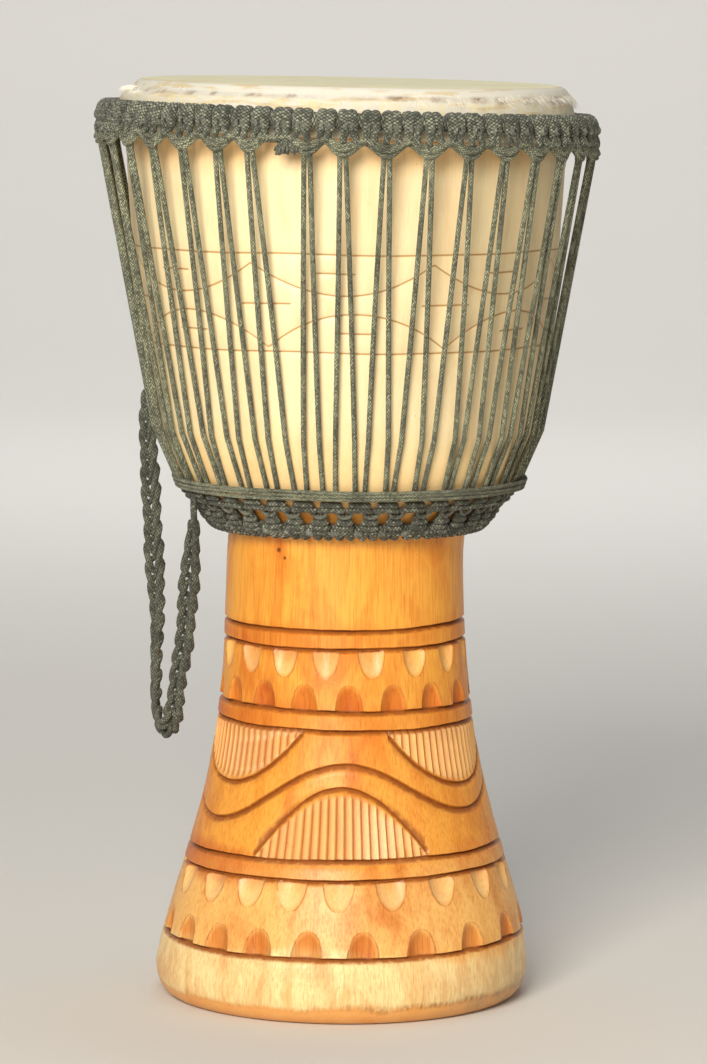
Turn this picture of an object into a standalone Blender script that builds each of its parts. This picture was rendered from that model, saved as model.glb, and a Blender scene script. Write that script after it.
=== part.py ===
"""A djembe: a goblet drum carved from one log, headed with goatskin and strung with rope.

The drum stands on the floor at z = 0, its axis is Z and its front faces -Y.
Lengths are in metres. An angle runs round the axis from the front, growing towards +X.
"""
import math

import bmesh
import bpy
import numpy as np
from mathutils.geometry import delaunay_2d_cdt

# Clearance between pieces that touch
GAP = 0.0004
# Flat sides in a full turn of what is round, and the least angle of an edge that shows sharp
TURN_SIDES = 30
SHARP_ANGLE = 20.0

# Shell heights, each one measured from the one before it, from the floor up
FOOT_HEIGHT = 0.0425
LOW_SCALLOP_ZONE = 0.0480
BAND_WIDTH = 0.0120
LENS_ZONE = 0.0825
HIGH_SCALLOP_ZONE = 0.0410
PLAIN_STEM = 0.0570
BOWL_FLOOR = 0.0365
BOWL_TURN = 0.0365
BOWL_SIDE = 0.1550
BOWL_LIP = 0.0695

# Shell radii at those heights, outside
FOOT_RADIUS = 0.1245
FOOT_GROOVE_RADIUS = 0.1197
LOW_BAND_RADIUS = 0.1062
WAIST_RADIUS = 0.0912
MID_BAND_RADIUS = 0.0840
HIGH_BAND_RADIUS = 0.0800
STEM_RADIUS = 0.0785
BOWL_FLOOR_RADIUS = 0.1100
BOWL_TURN_RADIUS = 0.1250
RIM_RADIUS = 0.1370
# The belly stands out past the rim by this much
BELLY_BULGE = 0.0056

# The foot's lower edge is worn round over this width and height
FOOT_ROUND_WIDTH = 0.0125
FOOT_ROUND_HEIGHT = 0.0200

# Shell inside: the bore under the foot, walls, the sound hole and the bearing edge
FOOT_BORE_RADIUS = 0.1000
FLARE_WALL = 0.0210
STEM_BORE_RADIUS = 0.0560
THROAT_RISE = 0.0120
BOWL_TURN_WALL = 0.0260
BELLY_WALL = 0.0155
RIM_WALL = 0.0115
RIM_ROUND = 0.0030

# Carving: V grooves, gouged scallops and fluted lenses
GROOVE_WIDTH = 0.0032
GROOVE_DEPTH = 0.0018
SCALLOP_LENGTH = 0.0185
SCALLOP_WIDTH_HIGH = 0.0185
SCALLOP_WIDTH_LOW = 0.0210
SCALLOP_DEPTH = 0.0048
SCALLOP_SHOULDER_SHARE = 0.50
SCALLOP_TIP_SHARE = 0.90
SCALLOP_FLOOR_SHARE = 0.50
HIGH_SCALLOPS = 17
LOW_SCALLOPS = 20
REPEATS = 3
WAVE_SWING = 0.0185
WAVE_CENTRE_SHARE = 0.520
STANDING_LENS_HEIGHT = 0.0435
STANDING_LENS_SPAN = 67.0
HANGING_LENS_HEIGHT = 0.0365
HANGING_LENS_SPAN = 77.0
LENS_EDGE = 0.0022
LENS_ARC_POINTS = 10
FLUTES = 17
FLUTE_CREST = 0.0005
FLUTE_DEPTH = 0.0024
CARVING_TURN = -1.5

# Skin: thickness, how far its collar spreads and the height of the lap under the crown
SKIN = 0.0015
COLLAR_SLOPE_DROP = 0.0125
COLLAR_BULGE = 0.0018
COLLAR_WALL = 0.0040
COLLAR_DEPTH = 0.0255

# The hoops were hauled down unevenly: tilt and nod of the playing skin, tilt of the crown, its
# sideways shift
HEAD_TILT = math.radians(0.72)
HEAD_NOD = math.radians(0.92)
CROWN_TILT = math.radians(1.45)
CROWN_SHIFT = -0.0025

# Ropes
ROPE_DIAMETER = 0.0034
ROPE_PAIRS = 37
FIRST_PAIR = -10.5
TIE_GAP_PUSH = 1.75
CROWN_KNOT_TURN = 1.1
ROPE_SPREAD_ABOVE = 0.0044
ROPE_SPREAD_BELOW = 0.0060
CROWN_WIDTH = 0.0155
CROWN_HEIGHT = 0.0145
CROWN_DROP = 0.0230
CRADLE_SAG = 0.0085
CRADLE_THICK = 0.0066
CRADLE_THIN = 0.0042
CRADLE_INSET = 0.0013
TIE_GAP_SIDE = 3.9
LACE_INSET = 0.0025
KNOT_PINCH_SHARE = 0.70
BOTTOM_KNOT_THICKNESS = 0.0090
BOTTOM_KNOT_LENGTH = 0.0160
BOTTOM_KNOT_RISE = 0.0175
LOOP_ROPE_DIAMETER = 0.0036
WRAP_TURNS = 2
WRAP_DROP = 0.0008
END_KNOT_WIDTH = 0.0140
END_KNOT_HEIGHT = 0.0095
END_KNOT_TURN = 1.0

# Carrying strap: a flat plait that hangs free on the left
STRAP_WIDTH = 0.0125
STRAP_POINTS = 17
STRAP_ROUTE = (
    (-0.1359, 0.0385, 0.3979), (-0.1344, 0.0370, 0.3650), (-0.1321, 0.0345, 0.3247),
    (-0.1302, 0.0325, 0.2918), (-0.1287, 0.0305, 0.2677), (-0.1274, 0.0285, 0.2435),
    (-0.1280, 0.0260, 0.2187), (-0.1280, 0.0215, 0.1949), (-0.1259, 0.0120, 0.1807),
    (-0.1217, 0.0010, 0.1749), (-0.1172, -0.0110, 0.1801), (-0.1136, -0.0200, 0.1943),
    (-0.1108, -0.0255, 0.2178), (-0.1075, -0.0280, 0.2342), (-0.1055, -0.0300, 0.2591),
    (-0.1036, -0.0315, 0.2832), (-0.1017, -0.0330, 0.3079), (-0.1007, -0.0345, 0.3180),
)

BELLY_RADIUS = RIM_RADIUS + BELLY_BULGE

# Heights added up from the floor
Z_FOOT_GROOVE = FOOT_HEIGHT
Z_LOW_BAND = Z_FOOT_GROOVE + LOW_SCALLOP_ZONE
Z_LOW_BAND_TOP = Z_LOW_BAND + BAND_WIDTH
Z_MID_BAND = Z_LOW_BAND_TOP + LENS_ZONE
Z_MID_BAND_TOP = Z_MID_BAND + BAND_WIDTH
Z_HIGH_BAND = Z_MID_BAND_TOP + HIGH_SCALLOP_ZONE
Z_HIGH_BAND_TOP = Z_HIGH_BAND + BAND_WIDTH
Z_THROAT = Z_HIGH_BAND_TOP + PLAIN_STEM
Z_BOWL_FLOOR = Z_THROAT + BOWL_FLOOR
Z_BOWL_TURN = Z_BOWL_FLOOR + BOWL_TURN
Z_BELLY = Z_BOWL_TURN + BOWL_SIDE
Z_RIM = Z_BELLY + BOWL_LIP
Z_WAIST = (Z_LOW_BAND_TOP + Z_MID_BAND) / 2
BAND_GROOVES = (Z_FOOT_GROOVE, Z_LOW_BAND, Z_LOW_BAND_TOP, Z_MID_BAND,
                Z_MID_BAND_TOP, Z_HIGH_BAND, Z_HIGH_BAND_TOP)


def smooth_line(stations):
    """Return a function through the stations that never overshoots them.

    It is a cubic between each two stations. The slope at a station is the harmonic
    mean of the slopes on both sides, or zero where they turn round.
    """
    places = np.array([place for place, _ in stations])
    values = np.array([value for _, value in stations])
    steps = np.diff(places)
    rises = np.diff(values) / steps
    slopes = np.concatenate(([rises[0]], np.zeros(len(rises) - 1), [rises[-1]]))
    for i in range(1, len(rises)):
        if rises[i - 1] * rises[i] > 0:
            slopes[i] = 2 * rises[i - 1] * rises[i] / (rises[i - 1] + rises[i])

    def value_at(place):
        place = np.clip(place, places[0], places[-1])
        i = np.clip(np.searchsorted(places, place) - 1, 0, len(steps) - 1)
        t = (place - places[i]) / steps[i]
        start = values[i] * (1 + 2 * t) * (1 - t) ** 2 + slopes[i] * steps[i] * t * (1 - t) ** 2
        end = values[i + 1] * t * t * (3 - 2 * t) - slopes[i + 1] * steps[i] * t * t * (1 - t)
        return start + end

    return value_at


outside = smooth_line((
    (FOOT_ROUND_HEIGHT, FOOT_RADIUS),
    (Z_FOOT_GROOVE, FOOT_GROOVE_RADIUS),
    (Z_LOW_BAND, LOW_BAND_RADIUS),
    (Z_WAIST, WAIST_RADIUS),
    (Z_MID_BAND, MID_BAND_RADIUS),
    (Z_HIGH_BAND, HIGH_BAND_RADIUS),
    (Z_THROAT, STEM_RADIUS),
    (Z_BOWL_FLOOR, BOWL_FLOOR_RADIUS),
    (Z_BOWL_TURN, BOWL_TURN_RADIUS),
    (Z_BELLY, BELLY_RADIUS),
    (Z_RIM, RIM_RADIUS),
))

inside = smooth_line((
    (0.0, FOOT_BORE_RADIUS),
    (Z_LOW_BAND, LOW_BAND_RADIUS - FLARE_WALL),
    (Z_WAIST, WAIST_RADIUS - FLARE_WALL),
    (Z_HIGH_BAND, STEM_BORE_RADIUS),
    (Z_THROAT + THROAT_RISE, STEM_BORE_RADIUS),
    (Z_BOWL_TURN, BOWL_TURN_RADIUS - BOWL_TURN_WALL),
    (Z_BELLY, BELLY_RADIUS - BELLY_WALL),
    (Z_RIM, RIM_RADIUS - RIM_WALL),
))


def wrap_angle(angle):
    """Bring an angle in degrees into the range from -180 to 180."""
    return (angle + 180.0) % 360.0 - 180.0


def wave_height(angle):
    """Height of the wave groove: a cosine with a crest over each standing lens."""
    middle = Z_LOW_BAND_TOP + WAVE_CENTRE_SHARE * LENS_ZONE
    return middle + WAVE_SWING * np.cos(np.radians(REPEATS * (angle - CARVING_TURN)))


class ScallopRow:
    """A row of cuts by one round gouge that rises from a groove to a blunt tip."""

    def __init__(self, groove, way, count, width, first, drift, drift_waves, drift_turn):
        self.groove = groove
        self.way = way
        self.degree = math.radians(1.0) * float(outside(groove))
        # The radius of a gouge whose cut is this wide and this deep
        self.gouge = ((width / 2) ** 2 + SCALLOP_DEPTH ** 2) / (2 * SCALLOP_DEPTH)
        centres = [first + 360.0 * i / count for i in range(count)]
        # The carver spaced the cuts by eye, so they drift a little round the turn
        self.centres = [centre - drift * math.cos(math.radians(drift_waves * (centre - drift_turn)))
                        for centre in centres]

    def half_angle(self, along):
        """Half the width of a cut, in degrees: the chord of the gouge at the depth there."""
        depth = SCALLOP_DEPTH * (1 - along)
        return math.sqrt(2 * self.gouge * depth - depth ** 2) / self.degree

    def depth(self, angle, height):
        """The gouge's arc, sunk in proportion to the distance from the tip."""
        along = self.way * (height - self.groove) / SCALLOP_LENGTH
        if along < 0 or along >= 1:
            return 0.0
        across = self.degree * min(abs(wrap_angle(angle - centre)) for centre in self.centres)
        if across >= self.gouge:
            return 0.0
        lift = self.gouge - SCALLOP_DEPTH * (1 - along)
        return max(math.sqrt(self.gouge ** 2 - across ** 2) - lift, 0.0)

    def creases(self):
        """Outline of each cut, two lines down its floor and the edge left between two cuts."""
        lines = []
        shares = (0.0, SCALLOP_SHOULDER_SHARE, SCALLOP_TIP_SHARE)
        sides = [(self.half_angle(share), self.groove + self.way * share * SCALLOP_LENGTH)
                 for share in shares]
        floor = SCALLOP_FLOOR_SHARE * sides[0][0]
        for centre in self.centres:
            left = [(centre - half, height) for half, height in sides]
            right = [(centre + half, height) for half, height in sides]
            lines.append(left + right[::-1])
            lines.append(((centre - floor, self.groove), left[-1]))
            lines.append(((centre + floor, self.groove), right[-1]))
        order = sorted(self.centres)
        for centre, following in zip(order, order[1:] + [order[0] + 360.0]):
            lines.append((((centre + following) / 2, self.groove + self.way * GROOVE_WIDTH / 2),))
        return lines


class Lens:
    """A fluted field between a band and an arc."""

    def __init__(self, centre, base, way, height, span):
        self.centre = centre
        self.base = base
        self.way = way
        self.height = height
        self.half = span / 2

    def arc(self, angle):
        """Height of the arc over the base: a parabola with its top at the centre."""
        across = wrap_angle(angle - self.centre) / self.half
        return self.height * (1 - across ** 2)

    def depth(self, angle, height):
        """Flutes with sharp crests and valleys, fading out along the arc."""
        across = wrap_angle(angle - self.centre) / self.half
        rise = self.way * (height - self.base)
        room = self.arc(angle) - rise
        if abs(across) >= 1 or rise < -GROOVE_WIDTH / 2 or room <= 0:
            return 0.0
        place = (across + 1) / 2 * FLUTES % 1.0
        valley = 1 - abs(2 * place - 1)
        flute = FLUTE_CREST + (FLUTE_DEPTH - FLUTE_CREST) * valley
        return flute * min(room / LENS_EDGE, 1.0)

    def creases(self):
        """The arc, the line where the flutes end and every crest and valley."""
        arc = [(self.centre + self.half * share, self.base + self.way * self.height * (1 - share ** 2))
               for share in np.linspace(-1, 1, LENS_ARC_POINTS)]
        lines = [arc]
        ends = []
        for step in range(1, 2 * FLUTES):
            angle = self.centre + self.half * (step / FLUTES - 1)
            top = self.arc(angle) - LENS_EDGE
            if top > LENS_EDGE:
                end = (angle, self.base + self.way * top)
                lines.append(((angle, self.base), end))
                ends.append(end)
        lines.append(ends)
        return lines


def scallop_rows():
    """Four rows: two that hang from the upper bands and two that stand on the lower ones."""
    return (
        ScallopRow(Z_HIGH_BAND, -1, HIGH_SCALLOPS, SCALLOP_WIDTH_HIGH, -7.7, 1.0, 3, 0.0),
        ScallopRow(Z_MID_BAND_TOP, 1, HIGH_SCALLOPS, SCALLOP_WIDTH_HIGH, 2.2, 1.0, 2, 40.0),
        ScallopRow(Z_LOW_BAND, -1, LOW_SCALLOPS, SCALLOP_WIDTH_LOW, 0.2, 2.3, 3, 7.0),
        ScallopRow(Z_FOOT_GROOVE, 1, LOW_SCALLOPS, SCALLOP_WIDTH_LOW, -8.4, 3.5, 2, 5.0),
    )


def lenses():
    """Lenses that stand on the low band, and between them lenses that hang from the middle one."""
    fields = []
    for i in range(REPEATS):
        turn = CARVING_TURN + 360.0 * i / REPEATS
        fields.append(Lens(turn, Z_LOW_BAND_TOP + GROOVE_WIDTH / 2, 1,
                           STANDING_LENS_HEIGHT, STANDING_LENS_SPAN))
        fields.append(Lens(turn + 180.0 / REPEATS, Z_MID_BAND - GROOVE_WIDTH / 2, -1,
                           HANGING_LENS_HEIGHT, HANGING_LENS_SPAN))
    return fields


def carved_depth(angle, height, rows, fields):
    """Depth of the deepest cut at a place on the outside of the shell."""
    grooves = list(BAND_GROOVES) + [float(wave_height(angle))]
    depth = 0.0
    for groove in grooves:
        depth = max(depth, GROOVE_DEPTH * (1 - abs(height - groove) / (GROOVE_WIDTH / 2)))
    for cut in tuple(rows) + tuple(fields):
        depth = max(depth, cut.depth(angle, height))
    return depth


def round_the_axis(radius, angle, height):
    """Turn radius, angle in degrees and height into a point."""
    turn = math.radians(angle)
    return (radius * math.sin(turn), -radius * math.cos(turn), height)


def side_angles():
    """Angles of the shell's flat sides, with the seam at the back named twice."""
    return [-180.0 + 360.0 * i / TURN_SIDES for i in range(TURN_SIDES + 1)]


def carved_panel(mesh, low, high):
    """Unroll the carved part of the outside, triangulate it along its creases and roll it up."""
    rows = scallop_rows()
    fields = lenses()
    turns = side_angles()
    lines = [[(side, low), (side, high)] for side in (-180.0, 180.0)]
    # The scallops cut away the lip on their side of a groove
    cut_lips = [(row.groove, row.way) for row in rows]
    for side in (-1, 0, 1):
        offset = side * GROOVE_WIDTH / 2
        lines += [[(angle, groove + offset) for angle in turns]
                  for groove in BAND_GROOVES if (groove, side) not in cut_lips]
        lines.append([(angle, float(wave_height(angle)) + offset) for angle in turns])
    # A cut near the seam is drawn on both sides of it, and what lies past the seam is dropped
    for cut in tuple(rows) + tuple(fields):
        for line in cut.creases():
            for shift in (-360.0, 0.0, 360.0):
                moved = [(angle + shift, height) for angle, height in line]
                if min(abs(angle) for angle, _ in moved) < 190.0:
                    lines.append(moved)

    # One degree is drawn as long as it is on the shell, so that the triangles keep their shape
    degree = math.radians(1.0) * MID_BAND_RADIUS
    points = []
    edges = []
    for line in lines:
        first = len(points)
        points += [(angle * degree, height) for angle, height in line]
        edges += [(first + i, first + i + 1) for i in range(len(line) - 1)]
    places, _, faces, _, _, _ = delaunay_2d_cdt(points, edges, [], 0, 1e-6)

    corners = {}
    for face in faces:
        middle = sum(places[i][0] for i in face) / 3 / degree
        if abs(middle) > 180.0:
            continue
        for i in face:
            if i not in corners:
                angle = places[i][0] / degree
                height = places[i][1]
                radius = float(outside(height)) - carved_depth(angle, height, rows, fields)
                corners[i] = mesh.verts.new(round_the_axis(radius, angle, height))
        mesh.faces.new([corners[i] for i in face])


def add_rings(mesh, section, closed=False):
    """Turn a section of (radius, height) points round the axis; a radius of 0 is one point."""
    turns = side_angles()[:-1]
    rings = []
    for radius, height in section:
        if radius == 0:
            rings.append([mesh.verts.new((0.0, 0.0, height))])
        else:
            rings.append([mesh.verts.new(round_the_axis(radius, angle, height)) for angle in turns])
    pairs = list(zip(rings, rings[1:]))
    if closed:
        pairs.append((rings[-1], rings[0]))
    for ring, following in pairs:
        for i in range(TURN_SIDES):
            j = (i + 1) % TURN_SIDES
            corners = [ring[i % len(ring)], ring[j % len(ring)],
                       following[j % len(following)], following[i % len(following)]]
            mesh.faces.new(list(dict.fromkeys(corners)))


def hauled(point, pull, crown):
    """Tilt and shift a point with the hoops.

    A pull of 0 leaves it where it was carved and 1 takes it along. The tilt is the head's
    at a crown of 0 and the crown's at 1, where the sideways shift is whole too and the
    head's nod to the front has gone.
    """
    x, y, z = point
    pull = min(max(pull, 0.0), 1.0)
    tilt = pull * (HEAD_TILT + (CROWN_TILT - HEAD_TILT) * crown)
    nod = pull * (1.0 - crown) * HEAD_NOD
    return (x + pull * crown * CROWN_SHIFT, y, z - x * math.tan(tilt) + y * math.tan(nod))


def material(name, colour, roughness):
    """A plain Principled material."""
    shade = bpy.data.materials.new(name)
    shade.use_nodes = True
    shader = shade.node_tree.nodes["Principled BSDF"]
    shader.inputs["Base Color"].default_value = (*colour, 1.0)
    shader.inputs["Roughness"].default_value = roughness
    shader.inputs["Metallic"].default_value = 0.0
    return shade


def add_object(name, data, shade):
    """Link an object with one material, shaded smooth but for its sharp edges."""
    part = bpy.data.objects.new(name, data)
    part.data.materials.append(shade)
    bpy.context.scene.collection.objects.link(part)
    if part.type == 'MESH':
        data.shade_smooth()
        data.set_sharp_from_angle(angle=math.radians(SHARP_ANGLE))
    return part


def finish_mesh(mesh, name):
    """Join doubled points, turn all faces outwards and make triangles of them."""
    bmesh.ops.remove_doubles(mesh, verts=mesh.verts, dist=0.00002)
    bmesh.ops.recalc_face_normals(mesh, faces=mesh.faces)
    bmesh.ops.triangulate(mesh, faces=mesh.faces)
    data = bpy.data.meshes.new(name)
    mesh.to_mesh(data)
    mesh.free()
    return data


def build_shell():
    """The wooden goblet: carved outside, bored through from the rim to the foot."""
    low = Z_FOOT_GROOVE - GROOVE_WIDTH / 2
    high = Z_HIGH_BAND_TOP + GROOVE_WIDTH / 2
    mesh = bmesh.new()
    carved_panel(mesh, low, high)

    above = [high, Z_THROAT, Z_THROAT + 0.35 * BOWL_FLOOR, Z_THROAT + 0.7 * BOWL_FLOOR,
             Z_BOWL_FLOOR, Z_BOWL_TURN, Z_BOWL_TURN + 0.45 * BOWL_SIDE, Z_BELLY, Z_RIM - RIM_ROUND]
    section = [(float(outside(z)), z) for z in above]
    section.append((section[-1][0] - RIM_ROUND, Z_RIM))
    within = [Z_RIM, Z_BELLY, Z_BOWL_TURN, Z_THROAT + THROAT_RISE, Z_HIGH_BAND, Z_LOW_BAND, 0.0]
    section += [(float(inside(z)), z) for z in within]
    for step in (0, 1, 2):
        turn = math.radians(45.0 * step)
        section.append((FOOT_RADIUS - FOOT_ROUND_WIDTH * (1 - math.sin(turn)),
                        FOOT_ROUND_HEIGHT * (1 - math.cos(turn))))
    section.append((float(outside(low)), low))
    add_rings(mesh, section)

    for vert in mesh.verts:
        rise = (vert.co.z - Z_BELLY) / BOWL_LIP
        vert.co = hauled(vert.co, rise, 0.0)
    return finish_mesh(mesh, "shell")


def skin_section():
    """Section of the skin: playing face, round corner, sloping collar and the lap under the crown."""
    under = Z_RIM + GAP
    top = under + SKIN
    edge = float(outside(Z_RIM - RIM_ROUND)) + GAP
    corner = edge + SKIN
    fold = RIM_ROUND + SKIN
    low = top - COLLAR_SLOPE_DROP
    outer = collar_radius()
    bottom = low - COLLAR_DEPTH
    inner = outer - COLLAR_WALL
    # The collar bulges square off its slope half way down
    slope = math.hypot(outer - corner, top - fold - low)
    middle = ((corner + outer) / 2 + COLLAR_BULGE * (top - fold - low) / slope,
              (top - fold + low) / 2 + COLLAR_BULGE * (outer - corner) / slope)
    return [
        (0.0, top),
        (corner - fold, top),
        (corner, top - fold),
        middle,
        (outer, low),
        (outer, bottom),
        (inner, bottom),
        (inner, low - SKIN),
        (edge, under - RIM_ROUND),
        (edge - RIM_ROUND, under),
        (0.0, under),
    ]


def collar_radius():
    """Outer radius of the lap: it clears the belly on the side where the crown has shifted."""
    return BELLY_RADIUS + abs(CROWN_SHIFT) + 2 * GAP + COLLAR_WALL


def build_skin():
    """Goatskin: one closed body as thick as the skin, thicker where it is lapped round its hoop."""
    section = skin_section()
    top = section[0][1]
    mesh = bmesh.new()
    add_rings(mesh, section)
    fold = RIM_ROUND + SKIN
    for vert in mesh.verts:
        sunk = (top - fold - vert.co.z) / (COLLAR_SLOPE_DROP - fold)
        vert.co = hauled(vert.co, 1.0, min(max(sunk, 0.0), 1.0))
    return finish_mesh(mesh, "goatskin_head")


def crown_radius():
    """Radius of the middle of the crown ring."""
    return collar_radius() + GAP + CROWN_WIDTH / 2


def crown_height():
    """Height of the middle of the crown ring."""
    return Z_RIM + GAP + SKIN - CROWN_DROP


def pair_step():
    """Angle from one rope pair to the next."""
    return 360.0 / ROPE_PAIRS


def pair_angles():
    """Angles of the rope pairs at the bottom ring, evenly spread."""
    return [FIRST_PAIR + pair_step() * i for i in range(ROPE_PAIRS)]


def pair_tops():
    """Angles of the pairs at the crown: the first and last stand apart where the rope was tied."""
    angles = pair_angles()
    return [angles[0] + TIE_GAP_PUSH] + angles[1:-1] + [angles[-1] - TIE_GAP_PUSH]


def with_following(angles):
    """Each angle with the one that follows it round the turn."""
    return list(zip(angles, angles[1:] + [angles[0] + 360.0]))


def crown_knot_angles():
    """A hitch over each rope pair, a little to its right, and one between two pairs."""
    first = FIRST_PAIR + CROWN_KNOT_TURN
    return [first + pair_step() / 2 * i for i in range(2 * ROPE_PAIRS)]


def knotted_ring(name, knots, centre, half_width, half_height, lean, haul):
    """A ring of hitches: its square section swells at each hitch and is pinched between two."""
    radius, height = centre
    stations = []
    for angle, following in with_following(knots):
        stations += [(angle, 1.0), ((angle + following) / 2, KNOT_PINCH_SHARE)]
    sides = 4
    mesh = bmesh.new()
    rings = []
    for angle, size in stations:
        ring = []
        for k in range(sides):
            turn = 2 * math.pi * (k + 0.5) / sides
            out = size * half_width * math.cos(turn) / math.cos(math.pi / sides)
            up = size * half_height * math.sin(turn) / math.cos(math.pi / sides)
            point = round_the_axis(radius + out * math.cos(lean) - up * math.sin(lean), angle,
                                   height + out * math.sin(lean) + up * math.cos(lean))
            ring.append(mesh.verts.new(hauled(point, haul, haul)))
        rings.append(ring)
    for ring, following in zip(rings, rings[1:] + rings[:1]):
        for k in range(sides):
            m = (k + 1) % sides
            mesh.faces.new((ring[k], ring[m], following[m], following[k]))
    return finish_mesh(mesh, name)


def rope_curve(name, points, thickness, cyclic, resolution=0):
    """A rope of round section along straight steps, as thick at each point as it says there."""
    data = bpy.data.curves.new(name, 'CURVE')
    data.dimensions = '3D'
    data.bevel_depth = ROPE_DIAMETER / 2
    data.bevel_resolution = resolution
    data.use_fill_caps = True
    spline = data.splines.new('POLY')
    spline.points.add(len(points) - 1)
    for spot, point, thick in zip(spline.points, points, thickness):
        spot.co = (*point, 1.0)
        spot.radius = thick / ROPE_DIAMETER
    spline.use_cyclic_u = cyclic
    return data


def cradle_heights():
    """Heights of the cradle rope at its humps and in its sags."""
    hump = crown_height() - CROWN_HEIGHT / 2 - GAP - CRADLE_THIN / 2
    return hump, hump - CRADLE_SAG


def build_cradle():
    """The cradle rope: it hangs under the crown and sags to a pair of ropes between its humps."""
    radius = crown_radius() + CROWN_WIDTH / 2 - CRADLE_INSET
    hump, sag = cradle_heights()
    points = []
    thickness = []
    for angle, following in with_following(pair_tops()):
        humps = ((angle + following) / 2,)
        # Over the gap where the rope was tied off, the hump is flat between two such places
        if following - angle > pair_step() + TIE_GAP_PUSH:
            humps = (angle + TIE_GAP_SIDE, following - TIE_GAP_SIDE)
        for place, height, thick in ((angle, sag, CRADLE_THICK),
                                     *((hump_angle, hump, CRADLE_THIN) for hump_angle in humps)):
            points.append(hauled(round_the_axis(radius, place, height), 1.0, 1.0))
            thickness.append(thick)
    return rope_curve("cradle_rope", points, thickness, True)


def seat_on_bowl(height, half_out, half_up):
    """Radius, height and lean of the middle of a piece that lies flat on the bowl.

    The middle stands off by half the thickness, and by as much as the wood hollows
    up towards the piece over its length.
    """
    reach = 0.001
    slope = (float(outside(height + reach)) - float(outside(height - reach))) / (2 * reach)
    size = math.hypot(1.0, slope)
    hollow = 0.0
    for share in np.linspace(-1.0, 1.0, 9):
        rise = share * (half_up + half_out) / size
        wood = float(outside(height + rise)) - float(outside(height))
        hollow = max(hollow, (wood - slope * rise) / size)
    off = half_out + GAP + hollow
    return float(outside(height)) + off / size, height - off * slope / size, -math.atan(slope)


def lace_stations():
    """Radius and height down one run of rope: cradle, bowl turn and behind the wraps."""
    _, sag = cradle_heights()
    top = (crown_radius() + CROWN_WIDTH / 2 - CRADLE_INSET - LACE_INSET,
           sag - CRADLE_THICK / 2 - GAP - ROPE_DIAMETER / 2)
    turn = seat_on_bowl(Z_BOWL_TURN, ROPE_DIAMETER / 2, 0.0)
    end = seat_on_bowl(Z_BOWL_FLOOR, ROPE_DIAMETER / 2, 0.0)
    # The rope is straight between the two, so both ends stand off by what the bowl bulges there
    bulge = 0.0
    for share in np.linspace(0.0, 1.0, 9):
        wood = float(outside(Z_BOWL_FLOOR + share * BOWL_TURN))
        straight = BOWL_FLOOR_RADIUS + share * (BOWL_TURN_RADIUS - BOWL_FLOOR_RADIUS)
        bulge = max(bulge, wood - straight)
    return top, (turn[0] + bulge, turn[1]), (end[0] + bulge, end[1])


def build_lacing():
    """One rope that zigzags between cradle and bottom ring, with both ends at the gap."""
    top, turn, end = lace_stations()
    top_half = math.degrees(ROPE_SPREAD_ABOVE / 2 / top[0])
    reach = pair_step() / 2 - math.degrees(ROPE_SPREAD_BELOW / 2 / end[0])
    share = (top[1] - turn[1]) / (top[1] - end[1])
    points = []
    for top_angle, angle in zip(pair_tops(), pair_angles()):
        down = []
        for way in (-1, 1):
            low = angle + way * reach
            high = top_angle + way * top_half
            middle = high + share * (low - high)
            down.append((round_the_axis(end[0], low, end[1]), round_the_axis(turn[0], middle, turn[1]),
                         hauled(round_the_axis(top[0], high, top[1]), 1.0, 1.0)))
        points += list(down[0]) + list(down[1])[::-1]
    return rope_curve("tension_rope", points, [ROPE_DIAMETER] * len(points), False)


def build_wraps():
    """Turns of rope round the foot of the bowl, over the lacing, lying close as one ring."""
    _, turn, end = lace_stations()
    slope = (turn[0] - end[0]) / (turn[1] - end[1])
    stand_off = (ROPE_DIAMETER + GAP) * math.hypot(1.0, slope)
    # The middle of a flat side lies nearer to the axis than its corners
    stand_off += end[0] * (1 / math.cos(math.pi / TURN_SIDES) - 1)
    half = ROPE_DIAMETER / 2
    section = []
    for i in range(WRAP_TURNS):
        rise = ROPE_DIAMETER * i - WRAP_DROP
        radius = end[0] + slope * rise + stand_off
        section.append((radius, end[1] + rise - half))
        section.append((radius + half, end[1] + rise))
    section.append((radius, end[1] + rise + half))
    section.append((section[0][0] - half, section[0][1] + 0.5 * half))
    mesh = bmesh.new()
    add_rings(mesh, section, closed=True)
    return finish_mesh(mesh, "bottom_wraps")


def wraps_bottom():
    """Height of the underside of the wraps."""
    _, _, end = lace_stations()
    return end[1] - WRAP_DROP - ROPE_DIAMETER / 2


def bottom_knot_seat():
    """Radius, height and lean of the middle of the row of knots under the bowl."""
    return seat_on_bowl(Z_THROAT + BOTTOM_KNOT_RISE, BOTTOM_KNOT_THICKNESS / 2,
                        BOTTOM_KNOT_LENGTH / 2)


def build_bottom_loops():
    """Loops between the wraps and the knots: a rope that runs up and down between the two."""
    radius, height, lean = bottom_knot_seat()
    half = LOOP_ROPE_DIAMETER / 2
    reach = BOTTOM_KNOT_LENGTH / 2 + GAP + half
    low = (radius - reach * math.sin(lean), height + reach * math.cos(lean))
    high_z = wraps_bottom() - GAP - half
    # The top of a loop lies on the wood a little above its own height
    high = seat_on_bowl(high_z + half * math.sin(-lean), half, 0.0)
    points = []
    for angle, following in with_following(pair_angles()):
        points.append(round_the_axis(low[0], angle, low[1]))
        points.append(round_the_axis(high[0], (angle + following) / 2, high_z))
    return rope_curve("bottom_loops", points, [LOOP_ROPE_DIAMETER] * len(points), True)


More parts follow.
